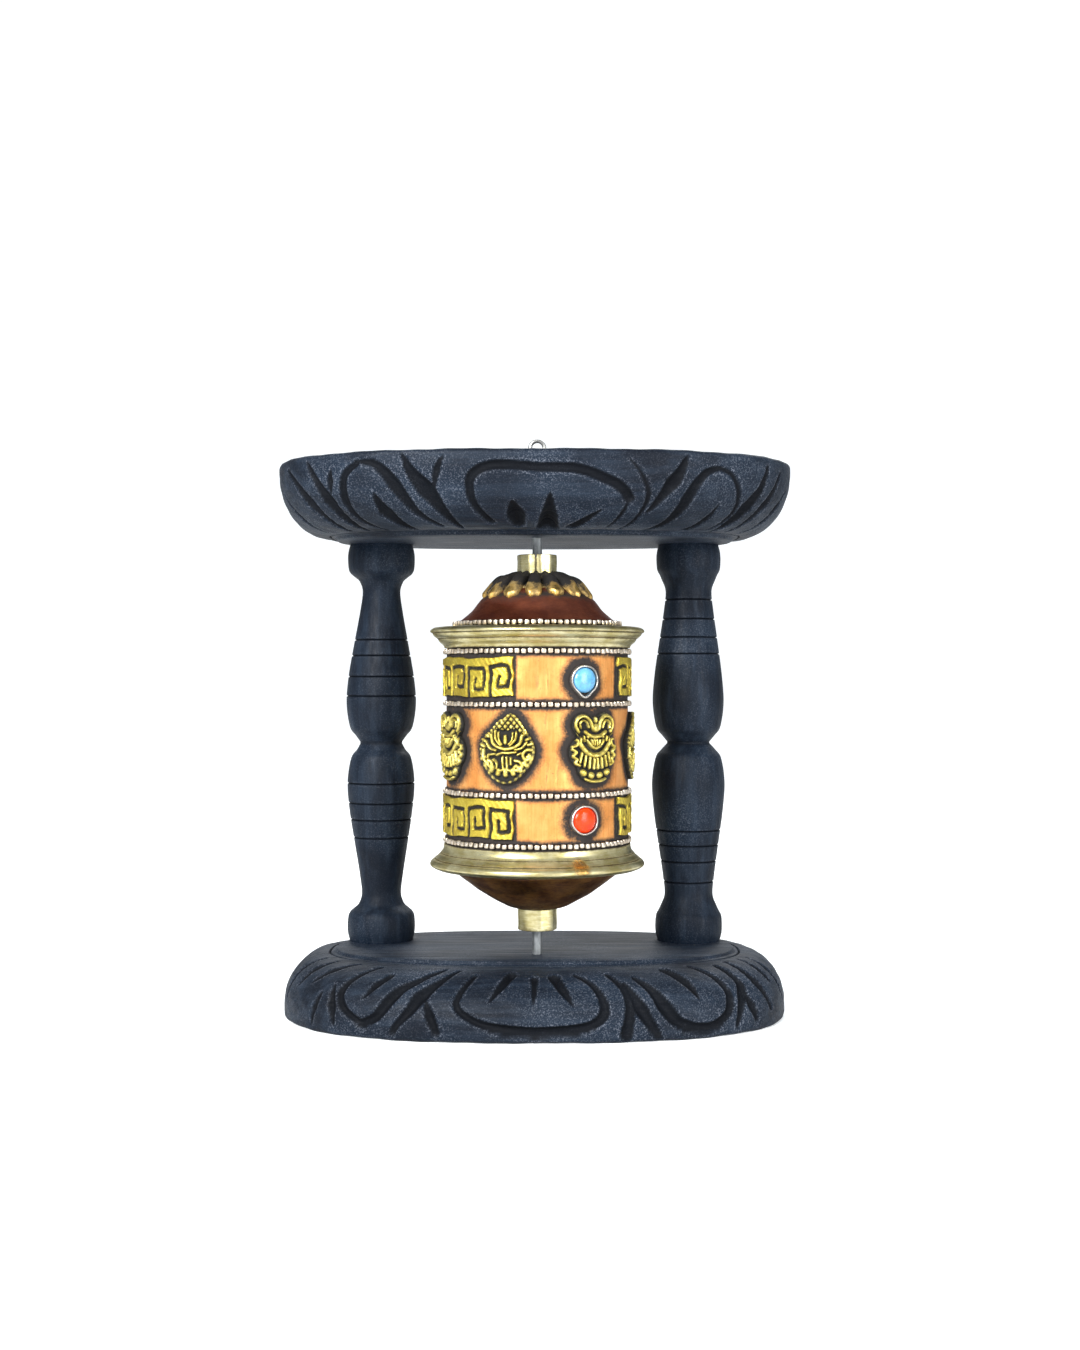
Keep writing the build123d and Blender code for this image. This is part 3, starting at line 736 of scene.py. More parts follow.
# %% Aged metal group
def build_metal_group():
    group, given, result = new_group(
        "aged_metal",
        [
            ("Color", "Bright", (1, 1, 1, 1)), ("Color", "Deep", (0.5, 0.5, 0.5, 1)),
            ("Color", "Patina", (0.02, 0.015, 0.012, 1)), ("Vector", "Rub", (1, 1, 1)),
            ("Float", "Patina Everywhere", 0.0), ("Float", "Pits", 0.5), ("Float", "Roughness", 0.3),
            ("Float", "Shine", 1.0),
        ],
        [("Color", "Colour"), ("Float", "Roughness"), ("Float", "Height"), ("Float", "Metal")],
    )
    place = add_node(group, "ShaderNodeTexCoord").outputs["Object"]
    cut = add_node(group, "ShaderNodeAttribute", attribute_name="cut").outputs["Fac"]
    rubbed = add_node(
        group, "ShaderNodeVectorMath", {0: place, 1: given["Rub"]}, operation="MULTIPLY"
    ).outputs[0]
    cloud = noise(group, place, 130, 4, 0.6)
    broad = noise(group, place, 45, 2, 0.5)
    streak = noise(group, rubbed, 700, 4, 0.7)
    grit = noise(group, place, 1500, 3, 0.8)

    blend = calculate(
        group, "ADD", calculate(group, "MULTIPLY", cloud, 0.7), calculate(group, "MULTIPLY", streak, 0.5)
    )
    metal = mix_colour(group, remap(group, blend, 0.44, 0.70), given["Bright"], given["Deep"])
    pits = calculate(group, "MULTIPLY", remap(group, grit, 0.64, 0.70), given["Pits"])
    spread = calculate(
        group, "ADD", calculate(group, "MULTIPLY", grit, 0.5), calculate(group, "MULTIPLY", cloud, 0.5)
    )
    crust = calculate(
        group, "ADD", cut, calculate(group, "MULTIPLY", calculate(group, "SUBTRACT", spread, 0.5), 1.7)
    )
    crust = remap(group, crust, 0.14, 0.84)
    patchy = calculate(group, "ADD", broad, calculate(group, "MULTIPLY", grit, 0.25))
    film = calculate(group, "MULTIPLY", remap(group, patchy, 0.45, 0.8), given["Patina Everywhere"])
    dark = calculate(group, "MAXIMUM", crust, calculate(group, "MAXIMUM", film, pits))
    solder = add_node(group, "ShaderNodeAttribute", attribute_name="solder").outputs["Fac"]
    mended = mix_colour(
        group, remap(group, grit, 0.4, 0.65), (0.80, 0.50, 0.14, 1), (0.28, 0.12, 0.03, 1)
    )
    metal = mix_colour(group, solder, metal, mended)
    group.links.new(mix_colour(group, dark, metal, given["Patina"]), result["Colour"])
    rough = calculate(group, "ADD", given["Roughness"], calculate(group, "MULTIPLY", dark, 0.35))
    group.links.new(
        calculate(group, "ADD", rough, remap(group, streak, 0.3, 0.7, -0.06, 0.08)), result["Roughness"]
    )
    height = calculate(
        group, "SUBTRACT", calculate(group, "MULTIPLY", streak, 0.4),
        calculate(group, "MULTIPLY", pits, 0.8)
    )
    group.links.new(
        calculate(group, "ADD", height, calculate(group, "MULTIPLY", cloud, 0.5)), result["Height"]
    )
    group.links.new(
        calculate(group, "MULTIPLY", remap(group, dark, 0, 1, 1.0, 0.25), given["Shine"]), result["Metal"]
    )
    return group


metal_group = build_metal_group()


def metal(
    name, bright, deep, patina=(0.02, 0.015, 0.012), rub=(1, 1, 1), film=0.0, pits=0.4, rough=0.3,
    bump=(0.35, 0.1), shine=1.0
):
    values = {
        "Bright": (*bright, 1), "Deep": (*deep, 1), "Patina": (*patina, 1), "Rub": rub,
        "Patina Everywhere": film, "Pits": pits, "Roughness": rough, "Shine": shine,
    }
    return finish_material(name, metal_group, values, bump)


bright_copper = metal(
    "bright_copper", (0.88, 0.42, 0.125), (0.70, 0.27, 0.06), (0.022, 0.016, 0.014), rub=(1.6, 1.6, 0.12),
    pits=0.7, rough=0.4,
    bump=(0.5, 0.15), shine=0.55,
)
red_copper = metal(
    "red_copper", (0.30, 0.085, 0.04), (0.16, 0.04, 0.022), rub=(0.7, 0.7, 2.0), film=0.35, rough=0.42
)
brown_copper = metal(
    "brown_copper", (0.38, 0.18, 0.045), (0.14, 0.05, 0.018), rub=(0.7, 0.7, 2.0), film=0.75, rough=0.36
)
pale_brass = metal(
    "pale_brass", (0.86, 0.80, 0.50), (0.52, 0.44, 0.18), (0.075, 0.055, 0.02), (0.35, 0.35, 2.4),
    film=0.15, rough=0.3
)
cast_brass = metal(
    "cast_brass", (0.88, 0.76, 0.24), (0.62, 0.48, 0.09), (0.012, 0.011, 0.008), rough=0.4,
    bump=(0.5, 0.12)
)
gold_brass = metal(
    "gold_brass", (0.84, 0.68, 0.10), (0.60, 0.44, 0.06), (0.014, 0.012, 0.008), rough=0.42,
    bump=(0.5, 0.12)
)
worn_black = metal(
    "worn_black", (0.88, 0.62, 0.24), (0.55, 0.34, 0.09), (0.010, 0.0085, 0.008), rough=0.42,
    bump=(0.6, 0.2)
)
pearl_metal = metal(
    "pearl_metal", (0.86, 0.78, 0.68), (0.62, 0.52, 0.40), (0.03, 0.02, 0.015), pits=0.2, rough=0.4
)
soot = metal("soot", (0.05, 0.035, 0.025), (0.02, 0.014, 0.01), rough=0.6)
bezel_silver = metal(
    "bezel_silver", (0.62, 0.60, 0.56), (0.34, 0.31, 0.28), (0.03, 0.025, 0.02), rough=0.3
)
rough_steel = metal(
    "rough_steel", (0.52, 0.55, 0.57), (0.26, 0.28, 0.29), (0.06, 0.05, 0.045), (1, 1, 0.25), film=0.5,
    rough=0.5, bump=(0.6, 0.2)
)
bright_steel = metal(
    "bright_steel", (0.66, 0.66, 0.64), (0.34, 0.34, 0.33), (0.05, 0.045, 0.04), film=0.2, rough=0.25
)
print("metal nodes:", len(metal_group.nodes))

# %% [markdown]
# ## Laying ornament on the drum
# Ornament is modelled flat, x to the right, y up, z outwards, all in millimetres from its own
# middle, and then bent round the drum. Angles start at the front of the drum and grow to the
# right. A relief is a set of smooth strokes, each a rounded ridge.

# %% Bending and ridges
def bend(bm, angle, height):
    """Wraps a flat ornament round the drum at this angle (degrees) and height."""
    for vert in bm.verts:
        turned = radians(angle) + vert.co.x / DRUM_RADIUS
        reach = DRUM_RADIUS + vert.co.z
        vert.co = DRUM_AXIS + Vector((reach * sin(turned), -reach * cos(turned), height + vert.co.y))


def ridges(u, v, strokes):
    """Height (0 to 1) of rounded ridges along the strokes; a stroke is (width, points)."""
    height = np.zeros(len(u))
    for width, points in strokes:
        line = smooth_line(points, 6) if len(points) > 2 else np.array(points, float)
        near = np.nonzero(
            (u > line[:, 0].min() - width) & (u < line[:, 0].max() + width)
            & (v > line[:, 1].min() - width) & (v < line[:, 1].max() + width)
        )[0]
        gap, _ = nearest_on_line(u[near], v[near], line, np.full(len(line), width / 2))
        height[near] = np.maximum(height[near], np.sqrt(np.clip(1 - gap**2, 0, 1)))
    return height


def mirrored(strokes):
    return strokes + [(width, [(-x, y) for x, y in points]) for width, points in strokes]


# %% [markdown]
# The outlines of the ornaments. One medallion is a drop with its point up; the other follows a
# vase with two looped ribbons. Each is a function from direction to radius, seen from the
# ornament's middle.

# %% Ornament outlines
PLATE_STAND = 2.6
LOTUS_ANGLES = [-18.5, 85, 169, 253]        # not evenly spaced
VASE_ANGLES = [36, 127, 211, 294.6]
MEDALLION_HEIGHT = 100.3
VASE_MIDDLE = -1.0

# Direction in degrees and reach in mm: a drop, leaning a little, with a blunt point on top.
DROP = [
    (-72, 11.8), (-52, 10.7), (-25, 10.2), (0, 10.0), (22, 9.5), (45, 9.5), (64, 10.8), (80, 12.2),
    (97, 10.2), (128, 8.0),
    (155, 8.8), (180, 9.7), (204, 9.7), (229, 10.6), (251, 11.9), (270, 12.5), (288, 11.8), (308, 10.7),
]
DROP_LINE = smooth_line(DROP, 8)


def drop_radius(direction):
    wrapped = (math.degrees(direction) + 60) % 360 - 60
    return float(np.interp(wrapped, DROP_LINE[:, 0], DROP_LINE[:, 1]))


def vase_radius(direction):
    """Far edge of the overlapping ovals (x, y, half width, half height) along a direction."""
    ovals = [
        (-4.4, 8.0, 4.3, 4.3), (4.4, 8.0, 4.3, 4.3), (0, 8, 3.5, 3.0), (0, -1.6, 9.9, 7.3),
        (0, -7.2, 6.8, 5.2)
    ]
    dx, dy = cos(direction), sin(direction)
    far = 4.0
    for x, y, half_width, half_height in ovals:
        px, py = -x / half_width, (VASE_MIDDLE - y) / half_height
        qx, qy = dx / half_width, dy / half_height
        a, b, c = qx * qx + qy * qy, px * qx + py * qy, px * px + py * py - 1
        if b * b > a * c:
            far = max(far, (-b + math.sqrt(b * b - a * c)) / a)
    return far


def outline_points(radius_of, middle=0.0, count=72):
    """The outline as (x, y) points."""
    directions = [2 * pi * i / count for i in range(count + 1)]
    return np.array([(radius_of(d) * cos(d), middle + radius_of(d) * sin(d)) for d in directions])


# %% [markdown]
# ## The drum body
# Thin copper sheet, bright where a hand rubs it. We spin it on a fine grid, press shallow
# dents and upright creases into it, and mark where patina lies: close to every bead wire, in a
# halo round each medallion and stone, and at the ends of the long plaques.

# %% Drum body
WIRE_HEIGHTS = [sum(span(f"bead_wire_{k}")[side].z for side in (0, 1)) / 2 for k in (1, 2, 3, 4)]
STONE_ANGLES = [29.0, 209.0]
TURQUOISE_HEIGHT, CORAL_HEIGHT = 123.9, 75.2
PLAQUE_ANGLES = [-70.5, 113.5]
PLAQUE_LENGTH = 113.0
PLAQUE_BANDS = [(118.0, 131.8), (68.7, 82.4)]


def drum_patina(angle, z):
    """Patina (0 to 1) at each point of the drum, given its angle in degrees and its height."""
    patina = np.zeros(len(angle))
    for height in WIRE_HEIGHTS:
        patina = np.maximum(patina, np.exp(-(np.clip(abs(z - height) - 0.9, 0, None) / 1.5) ** 2))
    patina = np.maximum(patina, np.clip((z - 134) / 1.2, 0, 1))
    patina = np.maximum(patina, np.clip((66.2 - z) / 1.2, 0, 1))

    def halo(outline, centre_angle, height, solid, fade):
        u = ((angle - centre_angle + 180) % 360 - 180) * radians(1) * DRUM_RADIUS
        v = z - height
        near = np.nonzero((abs(u) < 18) & (abs(v) < 18))[0]
        gap, _ = nearest_on_line(u[near], v[near], outline, np.full(len(outline), 1.0))
        patina[near] = np.maximum(patina[near], np.exp(-(np.clip(gap - solid, 0, None) / fade) ** 2))

    for lotus, vase in zip(LOTUS_ANGLES, VASE_ANGLES):
        halo(outline_points(drop_radius), lotus, MEDALLION_HEIGHT, 0.4, 2.9)
        halo(outline_points(vase_radius, VASE_MIDDLE), vase, MEDALLION_HEIGHT, 0.6, 3.2)
    for stone in STONE_ANGLES:
        for height in (TURQUOISE_HEIGHT, CORAL_HEIGHT):
            halo(outline_points(lambda direction: 5.2), stone, height, 1.0, 2.9)
    for start in PLAQUE_ANGLES:
        for bottom, top in PLAQUE_BANDS:
            beyond = (
                abs((angle - start + 180) % 360 - 180) - PLAQUE_LENGTH / 2
            ) * radians(1) * DRUM_RADIUS
            in_band = (z > bottom - 2) & (z < top + 2)
            patina = np.maximum(patina, in_band * np.exp(-(np.clip(beyond - 0.2, 0, None) / 1.1) ** 2))
    return patina


def make_drum():
    heights = np.linspace(57.2, 141.2, 176)
    inside = DRUM_RADIUS - 0.8
    outline = [(inside, 141.4), (DRUM_RADIUS - 0.1, 141.4), *[(DRUM_RADIUS, z) for z in heights[::-1]]]
    outline += [(DRUM_RADIUS - 0.1, 57.0), (inside, 57.0)]
    bm = turn(outline, 440, closed=True)
    place = np.array([vert.co for vert in bm.verts])
    angle = np.degrees(np.arctan2(place[:, 0], -place[:, 1]))
    patina = drum_patina(angle, place[:, 2])
    random.seed(4)
    dents = [
        (random.uniform(-180, 180), random.uniform(60, 138), random.uniform(1.2, 3.5), random.uniform(2, 6))
        for _ in range(90)
    ]
    creases = [
        (6.5, 124, 0.5, 5.5), (0.2, 123, 0.9, 3), (6.0, 91, 0.45, 5), (12.6, 92, 0.45, 4.5),
        (-36, 101, 0.8, 6), (5, 109, 0.8, 4)
    ]
    push = 0.05 * np.sin(np.radians(angle) * 9 + place[:, 2] * 0.13)
    push += 0.04 * np.sin(np.radians(angle) * 23 - place[:, 2] * 0.31)
    for centre, height, wide, tall in dents + creases:
        u = ((angle - centre + 180) % 360 - 180) * radians(1) * DRUM_RADIUS
        lean = 0.12 * (place[:, 2] - height) if wide < 0.5 else 0
        mark = np.exp(-(((u - lean) / wide) ** 2) - ((place[:, 2] - height) / tall) ** 2)
        push -= (0.16 if wide > 1 else 0.24) * mark
        patina = np.maximum(patina, (0.42 if wide < 1 else 0) * mark)
    outer = np.hypot(place[:, 0], place[:, 1]) > DRUM_RADIUS - 0.05
    layer = bm.verts.layers.float.new("cut")
    for i, vert in enumerate(bm.verts):
        if outer[i]:
            scale = 1 + push[i] / DRUM_RADIUS
            vert.co.x *= scale
            vert.co.y *= scale
        vert[layer] = patina[i]
    to_drum(bm)
    return make_piece("copper_drum", bm, "wheel", bright_copper, ["drum_shell"])


make_drum()

# %% [markdown]
# ## Flanges, dome, bowl and collars
# These are all spun or turned. The heights given to `mark_grooves` are where a tool line runs round
# the piece, so that dirt can sit in it. The lower flange has a blob of solder at the front right,
# where it was mended.

# %% Spun parts
def mark_grooves(bm, heights, reach=0.3):
    layer = bm.verts.layers.float.get("cut") or bm.verts.layers.float.new("cut")
    for vert in bm.verts:
        vert[layer] = max([vert[layer]] + [max(0, 1 - abs(vert.co.z - h) / reach) for h in heights])
    return layer


def make_flanges():
    r = DRUM_RADIUS
    upper = [
        (28.4, 141.4), (28.4, 143.0), (30.6, 143.05), (33, 143), (36.0, 142.95), (37.6, 142.7),
        (38.5, 142.2), (38.9, 141.75), (39.0, 141.35), (38.8, 141.0), (38.4, 140.8), (38.0, 140.7),
        (38.05, 140.45), (37.8, 140.0), (37.4, 139.55), (36.9, 139.1), (36.4, 138.75), (36.05, 138.6),
        (36.1, 138.35), (35.7, 137.8), (35.2, 137.2), (r + 1.5, 136.7), (r + 1.0, 136.1),
        (r + 0.7, 135.4), (r, 135.4), (r, 141.4),
    ]
    bm = turn(upper, 256, closed=True)
    mark_grooves(bm, (140.7, 138.6, 135.5), 0.42)
    to_drum(bm)
    make_piece("upper_flange_ring", bm, "wheel", pale_brass, ["upper_flange"])

    lower = [
        (r, 64.6), (r + 0.9, 64.6), (r + 1.0, 63.8), (r + 1.15, 62.9), (r + 1.5, 62.1),
        (r + 2.0, 61.6), (r + 1.9, 61.35), (r + 2.3, 61.15), (35.9, 60.5), (36.6, 59.9), (37.2, 59.5),
        (37.0, 59.25), (37.5, 59.05), (38.2, 58.6), (38.75, 58.0), (39.0, 57.4), (38.95, 56.9),
        (38.6, 56.5), (37.8, 56.0), (36.8, 55.6), (33, 55.55), (28.4, 55.6), (28.4, 57.0), (r, 57.0),
    ]
    bm = turn(lower, 360, closed=True)
    layer = mark_grooves(bm, (61.35, 59.25, 64.5), 0.42)
    solder = bm.verts.layers.float.new("solder")
    for vert in bm.verts:
        around = math.degrees(math.atan2(vert.co.x, -vert.co.y)) - 24
        u, v = radians(around) * 38, vert.co.z - 59.3
        lumps = 1 + 0.35 * sin(u * 3.1 + v * 2.3) + 0.25 * sin(u * 5.7 - v * 4.1)
        blob = max(0, 1 - (u / 3.6) ** 2 - (v / 3.2) ** 2) * lumps
        if vert.co.xy.length > r + 1.2:
            vert.co.xy *= 1 + 0.55 * blob / 38
        vert[solder] = min(1, blob * 1.6)
        vert[layer] = vert[layer] * (1 - vert[solder])
    to_drum(bm)
    return make_piece("lower_flange_ring", bm, "wheel", pale_brass, ["lower_flange"])


make_flanges()

COLLAR_RADIUS = 7.2
DOME_FOOT_RADIUS = 29.5
CROWN_TOP = 163.4
DOME_LINE = smooth_line(
    [(COLLAR_RADIUS, 159.6), (14.0, 157.4), (20.2, 153.2), (24.2, 148.4), (DOME_FOOT_RADIUS, 143.9)], 14
)


def dome_height(radius):
    return float(np.interp(radius, DOME_LINE[:, 0], DOME_LINE[:, 1]))


def make_dome_and_bowl():
    outer = [tuple(point) for point in DOME_LINE]
    inner = [(r - 0.45, z - 0.65) for r, z in outer[::-1]]
    bm = turn([*outer, (DOME_FOOT_RADIUS, 143.0), (28.6, 143.0), *inner], 192, closed=True)
    layer = bm.verts.layers.float.new("cut")
    for vert in bm.verts:
        size = vert.co.xy.length
        turned = math.atan2(vert.co.x, -vert.co.y)
        ripple = 0.07 * sin(7 * turned + size * 0.4) + 0.05 * sin(17 * turned - size * 0.9)
        vert.co.z += ripple if 10 < size < 29 else 0
        near_crown = max(0, 1 - abs(size - 19) / 4.2)
        near_foot = max(0, 1 - (DOME_FOOT_RADIUS - size) / 2.0)
        vert[layer] = min(1, max(near_crown * 0.9, near_foot * 0.8))
    to_drum(bm)
    make_piece("spun_dome", bm, "wheel", red_copper, ["dome_lid"])

    outer = smooth_line(
        [(31.3, 55.6), (28.8, 53.3), (26.3, 51.4), (18.5, 45.9), (12.5, 42.6), (8.2, 41.0), (7.1, 40.7)],
        10
    )
    inner = [(max(r - 0.5, 7.1), z + 0.65) for r, z in outer[::-1][2:]]
    bm = turn([*map(tuple, outer), *inner], 192, closed=True)
    layer = bm.verts.layers.float.new("cut")
    for vert in bm.verts:
        size = vert.co.xy.length
        turned = math.atan2(vert.co.x, -vert.co.y)
        vert.co.z += (
            0.09 * sin(5 * turned + size * 0.5) + 0.05 * sin(13 * turned - size)
        ) * (9 < size < 29)
        vert[layer] = min(1, max(0.8 * (1 - (size - 7) / 5), 0.75 * (1 - (31.3 - size) / 2.4), 0))
    to_drum(bm)
    make_piece("spun_bowl", bm, "wheel", brown_copper, ["lower_bowl"])


make_dome_and_bowl()

# %% [markdown]
# The collars are strips of brass sheet, hammered round a rod. The upper one was never soldered
# shut, so its seam shows as a dark line at the front. The hammer left faint flats.

# %% Collars
def make_collar(name, node, radius, wall, bottom, top, seam_angle, gap, flats):
    inside = radius - wall
    corners = [
        (inside, bottom), (inside, top), (inside + 0.15, top + 0.05), (radius - 0.2, top + 0.03),
        (radius, top - 0.2),
        *[(radius, bottom + (top - bottom) * k / 12) for k in range(11, 0, -1)], (radius, bottom + 0.2),
        (radius - 0.2, bottom),
    ]
    bm = bmesh.new()
    verts = [bm.verts.new((r, 0, z)) for r, z in corners]
    face = bm.faces.new(verts)
    open_angle = 2 * pi - gap / radius
    bmesh.ops.spin(
        bm, geom=[face, *face.edges, *verts], cent=(0, 0, 0), axis=(0, 0, 1), angle=open_angle, steps=110
    )
    bmesh.ops.recalc_face_normals(bm, faces=bm.faces)
    layer = bm.verts.layers.float.new("cut")
    for vert in bm.verts:
        turned = math.atan2(vert.co.y, vert.co.x) % (2 * pi)
        outside = vert.co.xy.length > inside + 0.3
        if outside:
            dent = 0.10 * cos(flats * turned + vert.co.z * 0.1) + 0.05 * sin(3 * turned + vert.co.z)
            vert.co.xy *= 1 + dent / radius
        from_seam = min(turned, open_angle - turned) * radius
        vert[layer] = 1.0 if not outside else max(
            0, 1 - from_seam / 0.5, 0.62 - abs(vert.co.z - bottom) / 3.5
        )
    start = seam_angle - 90 + math.degrees(gap / radius / 2)
    bmesh.ops.rotate(bm, verts=bm.verts, cent=(0, 0, 0), matrix=Matrix.Rotation(radians(start), 3, "Z"))
    to_drum(bm)
    return make_piece(name, bm, "wheel", pale_brass, [node], 30)


make_collar("rolled_upper_collar", "upper_collar", COLLAR_RADIUS, 0.9, 156, 169.2, -4, 0.45, 11)
make_collar("rolled_lower_collar", "lower_collar", 7.1, 0.9, 33.1, 44.0, 150, 0.1, 9)

# %% [markdown]
# ## The petal crown
# Fourteen thick petals lie round the collar like a lotus seat. They are black with age and
# rubbed to gold only at their curled tips, which stand clear of the dome. Each petal is a
# sector of a spun disc: we pull its rim out to a rounded tip, raise its middle and sink the
# seams between neighbours.

# %% Petal crown
PETALS = 14


def make_crown():
    inner, tip_radius = COLLAR_RADIUS, 20.6
    outline = [(r, 0) for r in [inner, 7.5, *np.linspace(8, tip_radius, 36)]]
    outline += [(tip_radius, -1), (tip_radius, -2), (tip_radius, -3), (inner, -3)]
    bm = turn(outline, PETALS * 20, closed=True)
    random.seed(7)
    petals = [
        (random.uniform(-0.6, 0.6), random.uniform(0.55, 1.0), random.uniform(0, 6)) for _ in range(PETALS)
    ]
    layer = bm.verts.layers.float.new("cut")
    for vert in bm.verts:
        turned = (math.atan2(vert.co.x, -vert.co.y) + radians(4)) / (2 * pi) * PETALS + 0.5
        across = (turned % 1 - 0.5) * 2
        stretch, gold, phase = petals[math.floor(turned) % PETALS]
        size, level = vert.co.xy.length, vert.co.z
        share = (size - inner) / (tip_radius - inner)
        body = math.sqrt(max(0, 1 - (across / 0.8) ** 2))
        cap = max(0, 1 - share / 0.3)
        tip = 15.6 + (4.8 + stretch) * body**0.5 + 0.3 * sin(8 * across + phase) * body
        reach = inner + (tip - inner) * share
        thick = float(np.interp(reach, [7.2, 13.5, 20.4], [3.7, 3.7, 2.7]))
        full = max(body**0.8, 0.75 * cap)
        lumps = 0.35 * sin(share * 11 + phase) * body + 0.3 * sin(3 * across + phase) * body
        nose = 0.9 * max(0, (share - 0.75) / 0.25) ** 2
        z = dome_height(reach) + 0.35 + full * (thick - 0.35) + lumps * (1 - cap) - nose * body
        drop = {0: 0, -1: 0.35, -2: 0.8, -3: 1.0}[round(level)]
        if level < 0 and share > 0.5:
            z -= drop * (2.4 * body + 0.3)
            reach -= {-1: -0.1, -2: 0.35, -3: 2.4}[round(level)] * body
        elif level < 0:
            z = dome_height(reach) + 0.02
        vert.co.xy *= reach / size
        vert.co.z = min(z, CROWN_TOP)
        worn = gold * max(0, share - 0.7) / 0.3 * (0.35 + 0.65 * body) * (
            1 + 0.5 * sin(5 * across + phase)
        )
        vert[layer] = 1 - min(0.9, max(0, worn * 1.4)) if level > -2.5 else 1
    to_drum(bm)
    return make_piece("petal_ring", bm, "wheel", worn_black, ["petal_crown"], 60)


make_crown()

# %% [markdown]
# ## Bead wires
# Five rings of pearled wire: small cushions of pale metal on a black wire. One cushion is a
# cube with rounded edges. Spinning it with copies makes the ring, and a little wobble in size
# and place keeps it hand-made.

# %% Bead wires
def make_bead_wire(name, node, radius, height, count, size):
    bm = bmesh.new()
    bmesh.ops.create_cube(bm, size=1)
    bmesh.ops.bevel(
        bm, geom=bm.edges[:], offset=0.27, offset_type="OFFSET", segments=2, profile=0.5, affect="EDGES",
        material=-1
    )
    wide, deep, tall = size
    bmesh.ops.scale(bm, vec=(deep, wide, tall), verts=bm.verts)
    bmesh.ops.translate(bm, vec=(radius + deep * 0.42, 0, 0), verts=bm.verts)
    bmesh.ops.spin(
        bm, geom=bm.verts[:] + bm.edges[:] + bm.faces[:], cent=(0, 0, 0), axis=(0, 0, 1),
        angle=2 * pi * (count - 1) / count, steps=count - 1, use_duplicate=True,
    )
    layer = bm.verts.layers.float.new("cut")
    for vert in bm.verts:
        number = round(math.atan2(vert.co.y, vert.co.x) / (2 * pi) * count) % count
        wobble = sin(number * 12.9898) * 43758.5453 % 1 - 0.5
        vert.co.xy *= 1 + 0.22 * wobble / radius
        vert.co.z = vert.co.z * (1 + 0.16 * wobble) + 0.12 * sin(number * 2.4 + radius)
        off_centre = (vert.co.xy.length - radius) / deep
        vert[layer] = 0.75 if off_centre < 0.3 else 0.12 + 0.3 * max(0, wobble)
    bmesh.ops.translate(bm, vec=DRUM_AXIS + Vector((0, 0, height)), verts=bm.verts)
    beads = make_piece(name + "_beads", bm, "wheel", pearl_metal, [node])
    core = turn(
        [(radius - 0.1, -0.85), *arc((radius, 0), (0.75, 0.9), -80, 80, 7), (radius - 0.1, 0.85)], 144,
        closed=True
    )
    bmesh.ops.translate(core, vec=DRUM_AXIS + Vector((0, 0, height)), verts=core.verts)
    make_piece(name + "_core", core, "wheel", soot)
    return beads


for k, height in enumerate(WIRE_HEIGHTS, 1):
    make_bead_wire(f"wire_{k}", f"bead_wire_{k}", DRUM_RADIUS, height, 92, (1.78, 1.45, 1.7))
dome_wire = span("dome_bead_wire")
dome_wire_height = (dome_wire[0].z + dome_wire[1].z) / 2
make_bead_wire("dome_wire", "dome_bead_wire", DOME_FOOT_RADIUS, dome_wire_height, 82, (1.72, 1.45, 1.65))

# %% [markdown]
# ## Long plaques
# Two pairs of brass plates run round the sides of the drum. They carry a plain running key
# fret, invented for this model, hanging from a solid band. The channels are sunk and black; the
# outline is cut by eye and a little uneven.

# %% Plaques
def fret_channels(length):
    """Sunk channels of a running key fret: (width, points) in mm from the plaque's middle."""
    strokes = []
    count = 7
    unit = length / count
    random.seed(11)
    for k in range(count):
        x = -length / 2 + unit * (k + 0.08)
        j = [random.uniform(-0.2, 0.2) for _ in range(6)]
        strokes.append((1.7, [(x, -7.6), (x + j[0], 0), (x + j[1], 3.4)]))
        strokes.append((1.5, [(x + j[1], 3.4), (x + unit * 0.45, 3.5 + j[2]), (x + unit * 0.72, 3.2)]))
        strokes.append(
            (1.6, [(x + unit * 0.72, 3.2), (x + unit * 0.74 + j[3], 0), (x + unit * 0.72, -3.6 + j[4])])
        )
        strokes.append(
            (1.5, [(x + unit * 0.72, -3.6 + j[4]), (x + unit * 0.5, -3.9), (x + unit * 0.32, -3.7 + j[5])])
        )
        strokes.append(
            (1.35, [(x + unit * 0.32, -3.7 + j[5]), (x + unit * 0.33, -1.6), (x + unit * 0.36, -0.2)])
        )
    return strokes


def make_plaques(name, node, band, seed):
    bottom, top = band
    length = radians(PLAQUE_LENGTH) * DRUM_RADIUS
    whole = bmesh.new()
    for middle in PLAQUE_ANGLES:
        bm = bmesh.new()
        bmesh.ops.create_grid(bm, x_segments=240, y_segments=50, size=0.5)
        place = np.array([vert.co for vert in bm.verts])
        u, v = place[:, 0] * length, place[:, 1] * (top - bottom)
        rim = (abs(place[:, 0]) > 0.4999) | (abs(place[:, 1]) > 0.4999)
        sunk = ridges(u, v + 0.4 * np.sin(u * 0.35 + seed), fret_channels(length))
        dents = 0.06 * np.sin(u * 0.9 + seed) * np.sin(v * 1.1) + 0.05 * np.sin(u * 3.1 + v * 2.3)
        height = np.where(rim, 0.0, 1.3 + dents - 0.95 * sunk**0.5)
        v = v + (
            0.35 * np.sin(u * 0.22 + seed) + 0.2 * np.sin(u * 0.61 + 2 * seed)
        ) * abs(place[:, 1]) * 1.6
        u = u + 0.3 * np.sin(v * 0.8 + seed) * abs(place[:, 0]) * 2
        layer = bm.verts.layers.float.new("cut")
        for i, vert in enumerate(bm.verts):
            vert.co = (u[i], v[i], height[i])
            vert[layer] = 0.95 if rim[i] else 0.08 + 0.92 * sunk[i] ** 0.5
        bend(bm, middle, (bottom + top) / 2)
        join(whole, bm)
    return make_piece(name, whole, "wheel", gold_brass, [node], 60)


